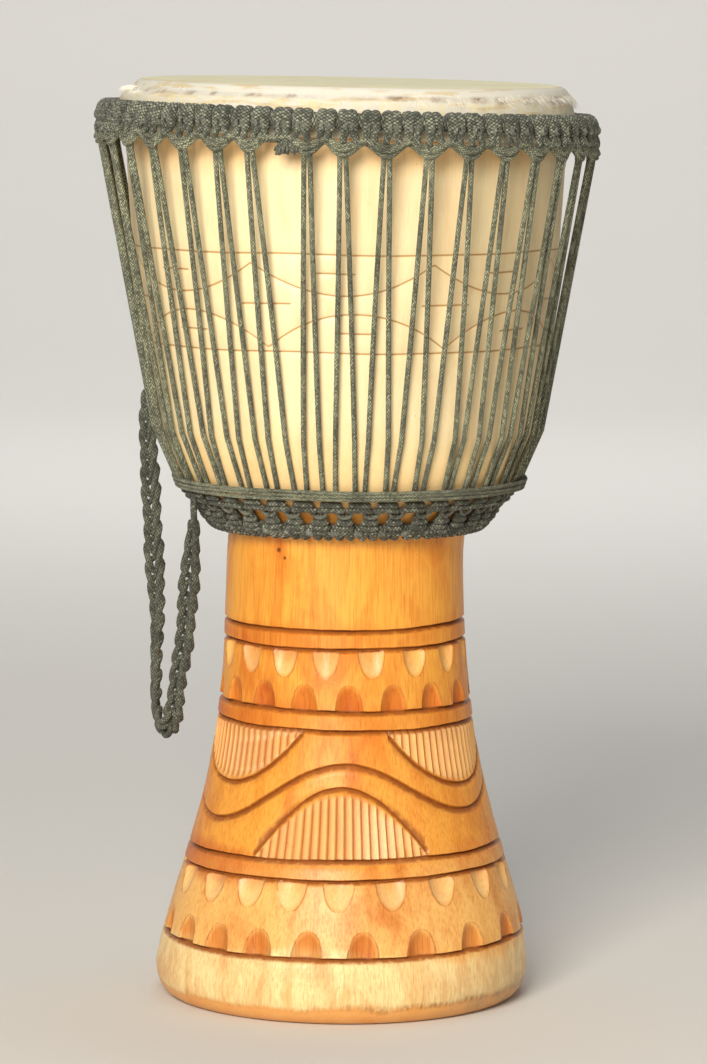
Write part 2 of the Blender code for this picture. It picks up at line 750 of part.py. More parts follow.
def build_strap():
    """The carrying strap's plain tube, read from a smooth curve through the route's points."""
    route = np.array(STRAP_ROUTE)
    walked = np.concatenate(([0.0], np.cumsum(np.linalg.norm(np.diff(route, axis=0), axis=1))))
    axes = [smooth_line(list(zip(walked, route[:, axis]))) for axis in range(3)]
    points = [[float(axis(place)) for axis in axes]
              for place in np.linspace(0.0, walked[-1], STRAP_POINTS)]
    return rope_curve("carrying_strap", points, [STRAP_WIDTH] * len(points), False, 2)


def build_end_knot():
    """The knot where the lacing was tied off, with its cut ends splayed below."""
    hump, _ = cradle_heights()
    radius = crown_radius() + CROWN_WIDTH / 2 - CRADLE_INSET
    angle = FIRST_PAIR - pair_step() / 2 + END_KNOT_TURN
    top = hump - CRADLE_THIN / 2 - GAP
    mesh = bmesh.new()
    rings = []
    for share, size in ((0.0, 0.45), (0.35, 0.75), (1.0, 1.0)):
        ring = []
        for k in range(8):
            turn = 2 * math.pi * k / 8
            splay = 1.0 if k % 2 else 1.0 - 0.25 * share
            across = size * splay * END_KNOT_WIDTH / 2 * math.cos(turn)
            out = size * splay * END_KNOT_WIDTH / 3 * math.sin(turn)
            place = round_the_axis(radius + out, angle + math.degrees(across / radius),
                                   top - share * END_KNOT_HEIGHT)
            ring.append(mesh.verts.new(hauled(place, 1.0, 1.0)))
        rings.append(ring)
    for ring, following in zip(rings, rings[1:]):
        for k in range(8):
            m = (k + 1) % 8
            mesh.faces.new((ring[k], ring[m], following[m], following[k]))
    mesh.faces.new(rings[0])
    mesh.faces.new(rings[-1])
    return finish_mesh(mesh, "end_knot")


def clear_scene():
    """Remove every object that is in the scene."""
    for thing in list(bpy.data.objects):
        bpy.data.objects.remove(thing, do_unlink=True)


def main():
    clear_scene()
    wood = material("oiled hardwood", (0.62, 0.33, 0.10), 0.45)
    hide = material("goatskin", (0.80, 0.74, 0.60), 0.55)
    rope = material("braided rope", (0.075, 0.080, 0.070), 0.85)

    add_object("shell", build_shell(), wood)
    add_object("goatskin_head", build_skin(), hide)

    crown = knotted_ring("crown_ring", crown_knot_angles(), (crown_radius(), crown_height()),
                         CROWN_WIDTH / 2, CROWN_HEIGHT / 2, 0.0, 1.0)
    add_object("crown_ring", crown, rope)
    add_object("cradle_rope", build_cradle(), rope)
    add_object("tension_rope", build_lacing(), rope)
    add_object("end_knot", build_end_knot(), rope)
    add_object("bottom_wraps", build_wraps(), rope)
    add_object("bottom_loops", build_bottom_loops(), rope)
    radius, height, lean = bottom_knot_seat()
    lower = knotted_ring("bottom_knots", pair_angles(), (radius, height),
                         BOTTOM_KNOT_THICKNESS / 2, BOTTOM_KNOT_LENGTH / 2, lean, 0.0)
    add_object("bottom_knots", lower, rope)
    add_object("carrying_strap", build_strap(), rope)


main()
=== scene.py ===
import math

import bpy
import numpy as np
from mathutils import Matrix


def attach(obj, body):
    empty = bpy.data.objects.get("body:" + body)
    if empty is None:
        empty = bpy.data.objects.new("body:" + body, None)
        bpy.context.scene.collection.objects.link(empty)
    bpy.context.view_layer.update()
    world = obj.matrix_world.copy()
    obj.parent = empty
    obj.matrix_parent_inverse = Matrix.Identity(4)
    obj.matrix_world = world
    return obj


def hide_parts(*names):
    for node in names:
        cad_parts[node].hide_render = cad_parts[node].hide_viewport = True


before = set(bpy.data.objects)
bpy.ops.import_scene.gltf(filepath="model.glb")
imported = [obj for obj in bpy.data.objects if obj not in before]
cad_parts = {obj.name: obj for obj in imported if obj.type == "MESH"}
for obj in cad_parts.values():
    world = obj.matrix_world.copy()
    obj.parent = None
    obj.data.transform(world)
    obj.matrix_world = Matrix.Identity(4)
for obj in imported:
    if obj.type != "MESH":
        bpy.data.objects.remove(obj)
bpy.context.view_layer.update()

# %% [markdown]
# # Dressing a djembe
#
# The solids of a goblet drum come in as a fixed frame: a carved wooden shell, a goatskin, two
# rings of hitched rope, the lacing between them and a plaited strap. Each one is replaced here
# by a finer surface in the same place. Every surface is worked out with numpy as arrays of
# points: a grid of two parameters, or a round section carried along a path.
#
# Lengths are metres. Angles are degrees round the drum's axis from the front, growing to +X.

print("solids:", ", ".join(sorted(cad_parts)))


# %% [markdown]
# ## The camera
#
# The photograph was taken from about three metres with a long lens, a little above the drum's
# middle and looking six degrees down, with the camera half a degree off level. A long lens
# keeps the rims of the drum nearly flat ellipses, as they are in the photograph.

# %% Camera
CAMERA_PLACE = (0.0039, -3.0, 0.6267)
CAMERA_DOWN = 6.053
CAMERA_ROLL = 0.486
LENS = 153.42

camera_data = bpy.data.cameras.new("photo_camera")
camera_data.sensor_width = 36.0
camera_data.lens = LENS
camera = bpy.data.objects.new("photo_camera", camera_data)
camera.matrix_world = (Matrix.Translation(CAMERA_PLACE)
                       @ Matrix.Rotation(math.radians(90.0 - CAMERA_DOWN), 4, 'X')
                       @ Matrix.Rotation(math.radians(CAMERA_ROLL), 4, 'Z'))
bpy.context.scene.collection.objects.link(camera)
bpy.context.scene.camera = camera
print("camera looks", CAMERA_DOWN, "degrees down through a", LENS, "mm lens")


# %% [markdown]
# ## From arrays to meshes
#
# A surface is three arrays: points, faces and the places of the face corners in a UV map. A
# face has four corners, or three and a -1. `woven` lays faces over any number of grids at
# once, and `strands` carries a round section along any number of paths at once, so that a
# ring of seventy hitches is still one call.

# %% Grids of faces
def woven(points, around=True, along=False, v=None):
    """Lay faces over grids of points, given as (grids, rows, columns, 3).

    Corner k of a face is point (row + a) * columns + column + b, where a and b are 0 or 1
    and wrap round where the grid is closed. v numbers the rows in the UV map, and u goes from
    0 to 1; a closed direction has one number more than it has points.
    """
    grids, rows, columns, _ = points.shape
    i, j = np.meshgrid(np.arange(rows if along else rows - 1),
                       np.arange(columns if around else columns - 1), indexing="ij")
    corners = [(i, j), (i, j + 1), (i + 1, j + 1), (i + 1, j)]
    faces = np.stack([a % rows * columns + b % columns for a, b in corners], axis=-1)
    faces = faces.reshape(1, -1, 4) + np.arange(grids)[:, None, None] * rows * columns
    u = np.linspace(0.0, 1.0, columns + around)
    if v is None:
        v = np.linspace(0.0, 1.0, rows + along)
    v = np.broadcast_to(v, (grids, rows + along))
    places = [np.stack(np.broadcast_arrays(u[b][None], v[:, a]), axis=-1) for a, b in corners]
    return points.reshape(-1, 3), faces.reshape(-1, 4), np.stack(places, axis=3).reshape(-1, 4, 2)


def joined(surfaces):
    """Put surfaces into one: the face numbers of each move on by the points before it."""
    counts = [len(points) for points, _, _ in surfaces]
    firsts = np.cumsum([0] + counts[:-1])
    faces = [np.where(faces < 0, -1, faces + first)
             for first, (_, faces, _) in zip(firsts, surfaces)]
    return (np.concatenate([points for points, _, _ in surfaces]), np.concatenate(faces),
            np.concatenate([places for _, _, places in surfaces]))


def unit(vectors):
    """Vectors divided by their own length."""
    return vectors / np.maximum(np.linalg.norm(vectors, axis=-1, keepdims=True), 1e-12)


# %% Round strands along paths
def strands(paths, radius, sides=8, closed=False, lead=None, flat=1.0, offset=0.0):
    """Carry a round section along paths (strands, stations, 3) and close the open ends.

    The ring at a station is centre + radius * (flat * cos(a) * first + sin(a) * second),
    where first is the lead made square to the path and second is their cross product. The
    lead points away from the drum's axis if none is given. In the UV map u goes round the
    strand once and v is the length along it in metres, plus the strand's own offset.
    """
    paths = np.asarray(paths, dtype=float)
    count, stations, _ = paths.shape
    if closed:
        ahead = np.roll(paths, -1, axis=1) - np.roll(paths, 1, axis=1)
    else:
        ahead = np.gradient(paths, axis=1)
    ahead = unit(ahead)
    if lead is None:
        lead = paths * (1.0, 1.0, 0.0)
    lead = np.broadcast_to(lead, paths.shape)
    first = unit(lead - ahead * np.sum(lead * ahead, axis=-1, keepdims=True))
    second = np.cross(ahead, first)
    radius = np.broadcast_to(radius, (count, stations))[..., None, None]
    turn = np.linspace(0.0, 2 * np.pi, sides, endpoint=False)[:, None]
    rings = (paths[:, :, None] + radius * (flat * np.cos(turn) * first[:, :, None]
                                           + np.sin(turn) * second[:, :, None]))
    following = np.roll(paths, -1, axis=1) if closed else paths[:, 1:]
    steps = np.linalg.norm(following - paths[:, :following.shape[1]], axis=-1)
    v = np.concatenate((np.zeros((count, 1)), np.cumsum(steps, axis=1)), axis=1)
    v = v + np.broadcast_to(offset, (count,))[:, None]
    points, faces, places = woven(rings, around=True, along=closed, v=v)
    if closed:
        return points, faces, places

    j = np.arange(sides)
    start = np.arange(count)[:, None] * stations * sides + j
    finish = start + (stations - 1) * sides
    turned = np.roll(start, -1, axis=1)
    middles = len(points) + np.arange(2 * count).reshape(2, count, 1)
    low = [middles[0] + 0 * j, turned, start]
    high = [middles[1] + 0 * j, finish, turned + (stations - 1) * sides]
    caps = np.concatenate([np.stack(side, axis=-1).reshape(-1, 3) for side in (low, high)])
    caps = np.concatenate((caps, np.full((len(caps), 1), -1)), axis=1)
    cap_places = np.zeros((len(caps), 4, 2))
    cap_places[:, 1:, 0] = 0.1
    cap_places[count * sides:, :, 1] = np.repeat(v[:, -1], sides)[:, None]
    centres = np.concatenate((paths[:, 0], paths[:, -1]))
    return (np.concatenate((points, centres)), np.concatenate((faces, caps)),
            np.concatenate((places, cap_places)))


# %% Finished pieces
def add_piece(name, surface, finish, nodes=(), attributes=None, sharp=None):
    """Make a mesh of a surface, give it its material and tie it to the drum.

    The attributes hold one number a point. An edge sharper than the given angle in degrees
    stays crisp, and all others are shaded smooth.
    """
    points, faces, places = surface
    used = faces >= 0
    corners = faces[used]
    starts = np.concatenate(([0], np.cumsum(used.sum(axis=1))[:-1]))
    mesh = bpy.data.meshes.new(name)
    mesh.vertices.add(len(points))
    mesh.vertices.foreach_set("co", points.astype(np.float32).ravel())
    mesh.loops.add(len(corners))
    mesh.loops.foreach_set("vertex_index", corners.astype(np.int32))
    mesh.polygons.add(len(faces))
    mesh.polygons.foreach_set("loop_start", starts.astype(np.int32))
    mesh.uv_layers.new(name="UVMap")
    mesh.uv_layers["UVMap"].data.foreach_set("uv", places[used].astype(np.float32).ravel())
    for label, values in (attributes or {}).items():
        layer = mesh.attributes.new(label, 'FLOAT', 'POINT')
        layer.data.foreach_set("value", np.asarray(values, dtype=np.float32).ravel())
    mesh.update(calc_edges=True)
    mesh.validate()
    mesh.shade_smooth()
    if sharp is not None:
        mesh.set_sharp_from_angle(angle=math.radians(sharp))
    mesh.materials.append(finish)
    piece = bpy.data.objects.new(name, mesh)
    bpy.context.scene.collection.objects.link(piece)
    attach(piece, "root")
    if nodes:
        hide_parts(*nodes)
    triangles = int((used.sum(axis=1) - 2).sum())
    print(f"{name}: {triangles} triangles")
    return piece


def add_rope(name, parts, finish, node):
    """A piece of rope from parts, each a surface with its wear from 0 to 1."""
    wear = np.concatenate([np.full(len(surface[0]), amount) for surface, amount in parts])
    return add_piece(name, joined([surface for surface, _ in parts]), finish, [node],
                     attributes={"wear": wear})


# %% Places round the drum
def round_axis(radius, angle, height):
    """Cylinder places to points: x = r sin(angle), y = -r cos(angle), z = height."""
    radius, turn, height = np.broadcast_arrays(radius, np.radians(angle), height)
    return np.stack((radius * np.sin(turn), -radius * np.cos(turn), height), axis=-1)


def full_turn(count):
    """Even angles round the drum, from the back over the left to the front and on."""
    return np.linspace(-180.0, 180.0, count, endpoint=False)


def signed(angle):
    """The same angle between -180 and 180 degrees."""
    return (angle + 180.0) % 360.0 - 180.0


def sideways(angles):
    """At each angle the level direction round the drum: (cos(angle), sin(angle), 0)."""
    turn = np.radians(angles)
    return np.stack((np.cos(turn), np.sin(turn), 0 * turn), axis=-1)[:, None]


def walked_along(points):
    """The length of the line through the points, up to each of them."""
    return np.concatenate(([0.0], np.cumsum(np.linalg.norm(np.diff(points, axis=0), axis=1))))


def smooth_line(stations):
    """A function through (place, value) stations that never overshoots them.

    It is a cubic between each two. The slope at a station is the harmonic mean of the slopes
    on both sides, or zero where they turn round.
    """
    places, values = np.array(stations, dtype=float).T
    steps = np.diff(places)
    rises = np.diff(values) / steps
    before, after = rises[:-1], rises[1:]
    same_way = before * after > 0
    mean = 2 * before * after / np.where(same_way, before + after, 1.0)
    slopes = np.concatenate((rises[:1], np.where(same_way, mean, 0.0), rises[-1:]))

    def value_at(place):
        """The cubic's value at a place, which is held between the first and last station."""
        place = np.clip(place, places[0], places[-1])
        i = np.clip(np.searchsorted(places, place) - 1, 0, len(steps) - 1)
        t = (place - places[i]) / steps[i]
        begin = values[i] * (1 + 2 * t) * (1 - t) ** 2 + slopes[i] * steps[i] * t * (1 - t) ** 2
        end = (values[i + 1] * t * t * (3 - 2 * t)
               - slopes[i + 1] * steps[i] * t * t * (1 - t))
        return begin + end

    return value_at


def wander(angle, seed, size):
    """A hand's slow unevenness round the turn: three sines with whole numbers of cycles."""
    turn = np.radians(angle)
    return size * (np.sin(2 * turn + seed) + np.sin(5 * turn + 2.3 * seed)
                   + 0.7 * np.sin(9 * turn + 4.1 * seed)) / 2.7


# The hoops were hauled down unevenly: the skin is tilted a little and nods to the front, the
# crown is tilted more and shifted
HEAD_TILT = math.radians(0.72)
HEAD_NOD = math.radians(0.92)
CROWN_TILT = math.radians(1.45)
CROWN_SHIFT = -0.0025


def hauled(points, pull=1.0, crown=1.0):
    """Tilt and shift points with the hoops, as far as they are pulled.

    z falls by x * tan(tilt) and rises by y * tan(nod). At a crown of 1 there is no nod.
    """
    tilt = pull * (HEAD_TILT + (CROWN_TILT - HEAD_TILT) * crown)
    nod = pull * (1.0 - crown) * HEAD_NOD
    moved = np.array(points, dtype=float)
    moved[..., 2] += moved[..., 1] * np.tan(nod) - moved[..., 0] * np.tan(tilt)
    moved[..., 0] += pull * crown * CROWN_SHIFT
    return moved


# %% [markdown]
# ## Nodes and colours
#
# Colours are written as sRGB hex values, as a paint or web colour is, and turned linear by one
# function. One more function adds a node: its settings are the node's properties, and its
# inputs are numbers, colours or the outputs of other nodes.

# %% Node helpers
def linear(colour):
    """An sRGB hex colour as the linear colour, with alpha, that a shader works in."""
    channels = np.array([int(colour[i:i + 2], 16) for i in (0, 2, 4)]) / 255.0
    bright = ((channels + 0.055) / 1.055) ** 2.4
    return (*np.where(channels <= 0.04045, channels / 12.92, bright).tolist(), 1.0)


def add_node(tree, kind, inputs=None, output=0, **settings):
    """Add a node with its properties, fill or link its inputs and return one output."""
    node = tree.nodes.new("ShaderNode" + kind)
    for name, value in settings.items():
        setattr(node, name, value)
    for socket, value in (inputs or {}).items():
        if isinstance(value, bpy.types.NodeSocket):
            tree.links.new(value, node.inputs[socket])
        else:
            node.inputs[socket].default_value = value
    return node.outputs[output]


def new_finish(name, **sockets):
    """A material with a Principled shader whose uniform values are set on its own sockets."""
    finish = bpy.data.materials.new(name)
    finish.use_nodes = True
    tree = finish.node_tree
    shader = tree.nodes["Principled BSDF"]
    for socket, value in sockets.items():
        shader.inputs[socket.replace("_", " ")].default_value = value
    return finish, tree, shader


# %% [markdown]
# ## Braided rope
#
# The rope of such drums is braided polyester, about four millimetres thick, black at first and
# faded by sun and hands to a speckled grey-green. Strands that run round it one way pass over
# and under strands that run the other way, so its surface is a lattice of small diamonds.
#
# The UV map of every strand has the turn round it in u and metres along it in v. Two slanted
# numbers, n * u + v / p and n * u - v / p, count the strands of the two directions, and their
# whole parts name a cell. In every other cell a strand of the one direction lies on top, and
# in those between a strand of the other, so each cell shows a short slanted stroke. The crest
# of a stroke is painted lighter, partly for the dye it has lost and partly as a painted
# highlight. The gaps between strokes stay dark, partly the rope's own black and partly painted
# shade.

# %% Rope finish
ROPE_DIAMETER = 0.0034


def braided_rope(name, dark, faded, fleck_share, around_count, braid_length, bump=0.0004):
    """Polyester braid: matt, painted shade between the strands, crests lighter from faded dye and
    a painted highlight, and faded where it is rubbed.
    """
    finish, tree, shader = new_finish(name, Roughness=0.85, Specular_IOR_Level=0.22,
                                      Sheen_Weight=0.12, Sheen_Roughness=0.6)
    uv = add_node(tree, "UVMap", uv_map="UVMap")
    u, v = [add_node(tree, "SeparateXYZ", {0: uv}, output=axis) for axis in "XY"]
    around = add_node(tree, "Math", {0: u, 1: float(around_count)}, operation='MULTIPLY')
    along = add_node(tree, "Math", {0: v, 1: 1 / braid_length}, operation='MULTIPLY')
    cells, offs = [], []
    for way in ('ADD', 'SUBTRACT'):
        slanted = add_node(tree, "Math", {0: around, 1: along}, operation=way)
        cells.append(add_node(tree, "Math", {0: slanted}, operation='FLOOR'))
        part = add_node(tree, "Math", {0: slanted}, operation='FRACT')
        part = add_node(tree, "Math", {0: part, 1: 0.5}, operation='SUBTRACT')
        offs.append(add_node(tree, "Math", {0: part}, operation='ABSOLUTE'))

    # Which direction is on top changes from cell to cell; its stroke is narrow across and long
    parity = add_node(tree, "Math", {0: cells[0], 1: cells[1]}, operation='ADD')
    parity = add_node(tree, "Math", {0: parity, 1: 1.0}, operation='PINGPONG')
    more = add_node(tree, "Math", {0: offs[0], 1: offs[1]}, operation='SUBTRACT')
    narrow = add_node(tree, "Math", {0: more, 1: parity, 2: offs[1]}, operation='MULTIPLY_ADD')
    both = add_node(tree, "Math", {0: offs[0], 1: offs[1]}, operation='ADD')
    long = add_node(tree, "Math", {0: both, 1: narrow}, operation='SUBTRACT')
    crest = add_node(tree, "MapRange", {"Value": narrow, "From Min": 0.46, "From Max": 0.24})
    ends = add_node(tree, "MapRange", {"Value": long, "From Min": 0.50, "From Max": 0.34})
    crest = add_node(tree, "Math", {0: crest, 1: ends}, operation='MULTIPLY')

    # One number for each cell decides how much dye its stroke has lost; even the least leaves a
    # painted highlight on the crest
    cell = add_node(tree, "CombineXYZ", {0: cells[0], 1: cells[1]})
    chance = add_node(tree, "TexWhiteNoise", {0: cell}, noise_dimensions='3D')
    lost = add_node(tree, "MapRange", {"Value": chance, "From Min": 1 - fleck_share,
                                       "From Max": 1.0, "To Min": 0.30, "To Max": 1.0})
    fade_and_highlight = add_node(tree, "Math", {0: lost, 1: crest}, operation='MULTIPLY')
    place = add_node(tree, "TexCoord", output="Object")
    patches = add_node(tree, "TexNoise", {"Vector": place, "Scale": 70.0, "Detail": 3.0})
    worn = add_node(tree, "MapRange", {"Value": patches, "From Min": 0.35, "From Max": 0.65,
                                       "To Min": 0.60, "To Max": 1.20})
    fade_and_highlight = add_node(tree, "Math", {0: fade_and_highlight, 1: worn}, operation='MULTIPLY', use_clamp=True)
    # The crests take the faded colour, partly as a painted highlight, and the gaps keep the dark
    # colour, partly as painted shade
    colour = add_node(tree, "MixRGB", {0: fade_and_highlight, 1: linear(dark), 2: linear(faded)})
    wear = add_node(tree, "Attribute", attribute_name="wear", output="Fac")
    rubbed = add_node(tree, "MapRange", {"Value": patches, "From Min": 0.40, "From Max": 0.62,
                                         "To Min": 0.25, "To Max": 0.85})
    rubbed = add_node(tree, "Math", {0: rubbed, 1: wear}, operation='MULTIPLY')
    colour = add_node(tree, "MixRGB", {0: rubbed, 1: colour, 2: linear("787A6E")})
    tree.links.new(colour, shader.inputs["Base Color"])
    normal = add_node(tree, "Bump", {"Height": crest, "Distance": bump, "Strength": 0.9})
    tree.links.new(normal, shader.inputs["Normal"])
    return finish


# The third braid is a darker copy of the hitches' braid with fewer faded crests: painted shade for
# the lower ring under the bowl and for the cut rope ends under the crown
lacing_finish, hitch_finish, shaded_braid_finish, strap_finish = [braided_rope(*row) for row in (
    ("faded_polyester_braid", "191A13", "BBBF9F", 0.92, 6, 0.0024, 0.0005),
    ("polyester_braid_in_hitches", "131410", "9CA08C", 0.85, 6, 0.0019),
    ("braid_with_painted_shade_of_the_lower_ring", "090A07", "A2A692", 0.55, 5, 0.0021),
    ("faded_braid_of_the_strap", "13150F", "868976", 0.92, 6, 0.0024, 0.0005))]
print("rope:", round(1000 * ROPE_DIAMETER, 1), "mm thick")


# %% [markdown]
# ## The carrying strap
#
# A strap of the same rope hangs free on the drum's left, from the lacing low on the bowl, down
# beside the stem and up again into the lower ring. It is a chain plait: each loop is drawn
# through the one before it, which gives nested V shapes on the face.
#
# Each loop is a closed path of t from 0 to 1. It runs down the strap and back up as
# s = (1 - cos 2 pi t) / 2. Its half width grows fast from the top, where the loop lies behind
# the one before, and its two legs then draw together to a point on the face. Lower down the
# strap has twisted on itself, so the loops show their sides there and look like links.

# %% Strap
STRAP_ROUTE = (
    (-0.1359, 0.0385, 0.3979), (-0.1344, 0.0370, 0.3650), (-0.1321, 0.0345, 0.3247),
    (-0.1302, 0.0325, 0.2918), (-0.1287, 0.0305, 0.2677), (-0.1274, 0.0285, 0.2435),
    (-0.1280, 0.0260, 0.2187), (-0.1280, 0.0215, 0.1949), (-0.1259, 0.0120, 0.1807),
    (-0.1217, 0.0010, 0.1749), (-0.1172, -0.0110, 0.1801), (-0.1136, -0.0200, 0.1943),
    (-0.1108, -0.0255, 0.2178), (-0.1075, -0.0280, 0.2342), (-0.1055, -0.0300, 0.2591),
    (-0.1036, -0.0315, 0.2832), (-0.1017, -0.0330, 0.3079), (-0.1007, -0.0345, 0.3180),
)
STRAP_WIDTH = 0.0125
STRAP_ROPE = 0.0042
LOOP_PITCH = 0.0128
LOOP_REACH = 1.75 * LOOP_PITCH
TANGENT_STEP = 0.002

route = np.array(STRAP_ROUTE)
walked = walked_along(route)
strap_axes = [smooth_line(np.column_stack((walked, route[:, axis]))) for axis in range(3)]
loop_width = smooth_line(((0.0, 0.0), (0.07, 0.60), (0.24, 1.0), (0.50, 0.82), (0.80, 0.46),
                          (0.94, 0.34), (1.0, 0.0)))
loop_depth = smooth_line(((0.0, -1.0), (0.20, -0.35), (0.45, 0.55), (0.75, 0.60), (1.0, -0.35)))
strap_twist = smooth_line(((0.0, 15.0), (0.120, 5.0), (0.155, 48.0), (0.215, 62.0), (0.240, 20.0),
                           (0.290, -18.0), (0.340, 8.0), (walked[-1], -10.0)))


def on_strap(place):
    """The point of the strap's centre line that many metres from its start."""
    return np.stack([axis(place) for axis in strap_axes], axis=-1)


loop_starts = np.arange(-0.004, walked[-1] - 0.006, LOOP_PITCH)[:, None]
t = np.linspace(0.0, 1.0, 26, endpoint=False)
share = (1 - np.cos(2 * np.pi * t)) / 2
places = np.clip(loop_starts + LOOP_REACH * share, 0.0, walked[-1])
centre = on_strap(places)
ahead = unit(on_strap(np.clip(places + TANGENT_STEP, 0, walked[-1]))
             - on_strap(np.clip(places - TANGENT_STEP, 0, walked[-1])))
face = np.array((-0.25, -0.97, 0.0))
face = unit(face - ahead * np.sum(ahead * face, axis=-1, keepdims=True))
side = np.cross(ahead, face)
twist = np.radians(strap_twist(places))[..., None]
face, side = (np.cos(twist) * face + np.sin(twist) * side,
              np.cos(twist) * side - np.sin(twist) * face)
slack = 1.0 + 0.10 * np.sin(1.7 * np.arange(len(loop_starts)))[:, None, None]
slack[[0, 1, -2, -1]] *= np.array((0.45, 0.80, 0.75, 0.45))[:, None, None]
swing = (1.25 * (STRAP_WIDTH - STRAP_ROPE) / 2 * loop_width(share)
         * np.sign(np.sin(2 * np.pi * t) + 1e-9))
chain = (centre + slack * swing[None, :, None] * side
         + 0.48 * STRAP_ROPE * loop_depth(share)[None, :, None] * face)
strap = add_piece("strap_chain", strands(chain, STRAP_ROPE / 2, sides=10, closed=True, lead=face),
                  strap_finish, ["carrying_strap"])
on_strap(np.linspace(0, walked[-1], 40)).tolist()
print("strap:", len(chain), "loops along", round(float(walked[-1]), 4), "m")


# %% [markdown]
# ## The shell's outline
#
# The shell is one log, carved to a goblet and bored through. The same stations as in the
# solids give its outside and inside radius by height, one to three millimetres wider on the
# flare and the belly, as the real log is. A hand-carved log is never quite straight, so the
# stem and the bowl lean a few millimetres. What the carver cut into the wood is a depth that
# is taken off the radius.

# %% Outline of the wood
Z_GROOVES = {"foot": 0.0425, "low": 0.0905, "low_top": 0.1025, "middle": 0.1850,
             "middle_top": 0.1970, "high": 0.2380, "high_top": 0.2500}
Z_THROAT = 0.3070
Z_BELLY = 0.5350
Z_RIM = 0.6045
FOOT_RADIUS = 0.1245
GROOVE_WIDTH = 0.0042
GROOVE_DEPTH = 0.0030
GROOVE_DEEPEST = 0.00084
LIP = GROOVE_WIDTH / 2
FOOT_ROUNDING = (0.0125, 0.0200)
HAND_UNEVENNESS = 0.0003
outside = smooth_line(((0.0200, FOOT_RADIUS), (0.0425, 0.1208), (0.0905, 0.1075),
                       (0.14375, 0.0928), (0.1850, 0.0854), (0.2380, 0.0804),
                       (Z_THROAT, 0.0785), (0.3435, 0.1100), (0.3800, 0.1250),
                       (Z_BELLY, 0.1434), (0.5620, 0.1446), (Z_RIM, 0.1370)))
inside = smooth_line(((0.0, 0.1000), (0.0905, 0.0852), (0.14375, 0.0702), (0.2380, 0.0560),
                      (0.3190, 0.0560), (0.3800, 0.0990), (Z_BELLY, 0.1271), (Z_RIM, 0.1255)))


# The hand's tilt and bend of each groove: three terms of a + b * sin(angle) + c * cos(angle)
GROOVE_BENDS = {"foot": (0.0013, 0.0010, -0.0016), "low": (0.0002, 0.0015, 0.0009),
                "low_top": (0.0, 0.0017, 0.0012), "middle": (0.0016, -0.0007, -0.0005),
                "middle_top": (0.0015, -0.0005, 0.0), "high": (0.0020, 0.0, -0.0012),
                "high_top": (0.0021, 0.0005, -0.0010)}
lean = smooth_line(((0.0, -0.0020), (0.016, -0.0020), (0.030, -0.0015), (0.057, 0.0),
                    (0.115, 0.0), (0.170, -0.0007), (0.220, -0.0011), (0.260, -0.0018),
                    (0.290, -0.0018), (0.325, 0.0), (0.400, -0.0008), (0.480, -0.0026),
                    (0.565, -0.0032), (0.587, -0.0018), (0.600, 0.0), (0.610, 0.0)))
print("outside radius at the throat and the belly:",
      [round(float(outside(height)), 4) for height in (Z_THROAT, Z_BELLY)])


def groove_height(name, angle):
    """Where a band groove runs: its height with the hand's bend and unevenness."""
    level, across, ahead = GROOVE_BENDS[name]
    turn = np.radians(angle)
    seed = 1.0 + 3.7 * list(Z_GROOVES).index(name)
    return (Z_GROOVES[name] + level + across * np.sin(turn) + ahead * np.cos(turn)
            + wander(angle, seed, 0.0005) + wander(5 * angle, seed, 0.0002))


def groove_depth(height, middle, half_width, depth):
    """A V cut with a short steep upper wall and a long lower one, zero at both lips."""
    deepest = 0.4 * half_width
    off = height - middle - deepest
    share = 1 - np.where(off > 0, off / (half_width - deepest), -off / (half_width + deepest))
    return depth * np.clip(share, 0.0, 1.0)


# %% [markdown]
# ## Scallops
#
# Four rows of scallops stand on or hang from the band grooves. Each is one push of a round
# gouge, deepest at the groove and running out to a round tip. Across it the depth is the arc
# of the gouge, sqrt(g * g - a * a), and along it the gouge lifts as the share along the cut to
# the power p. A larger p keeps the sides parallel for longer and gives a rounder tip.
#
# The columns of the grid follow the edges of each cut, so the edges stay crisp with few faces:
# nine columns lie across a cut and five on the wood between two cuts, and they draw together
# towards the tip.

# %% Scallop rows
SCALLOP_LENGTH = 0.0185
SCALLOP_DEPTH = 0.0048


def scallop_row(groove, way, count, width, first, drift, waves, turn, power):
    """Centres and gouge of a row. The carver spaced it by eye, so it drifts round the turn."""
    centres = first + 360.0 * np.arange(count) / count
    centres = centres - drift * np.cos(np.radians(waves * (centres - turn)))
    return {"groove": groove, "way": way, "centres": centres, "power": power,
            "degree": math.radians(1.0) * float(outside(Z_GROOVES[groove])),
            "gouge": ((width / 2) ** 2 + SCALLOP_DEPTH ** 2) / (2 * SCALLOP_DEPTH)}


def scallop_half(row, along):
    """Half the width of a cut, in degrees: the chord of the gouge at the depth there."""
    depth = SCALLOP_DEPTH * (1 - np.clip(along, 0.0, 1.0) ** row["power"])
    return np.sqrt(2 * row["gouge"] * depth - depth ** 2) / row["degree"]


def scallop_cut(row, angle, height):
    """Depth of the row's cuts at places on the shell, and how near their edges these are."""
    along = row["way"] * (height - groove_height(row["groove"], angle)) / SCALLOP_LENGTH
    turns = signed(angle[..., None] - row["centres"])
    across = row["degree"] * np.min(np.abs(turns), axis=-1)
    inside_cut = (along >= 0) & (along < 1)
    lift = row["gouge"] - SCALLOP_DEPTH * (1 - np.clip(along, 0.0, 1.0) ** row["power"])
    arc = np.sqrt(np.maximum(row["gouge"] ** 2 - across ** 2, 0.0)) - lift
    depth = np.where(inside_cut & (across < row["gouge"]), np.maximum(arc, 0), 0)
    off = np.abs(across - scallop_half(row, along) * row["degree"])
    edge = np.clip(1 - off / 0.0006, 0.0, 1.0) * ((along > -0.02) & (along < 1.02))
    return depth, edge


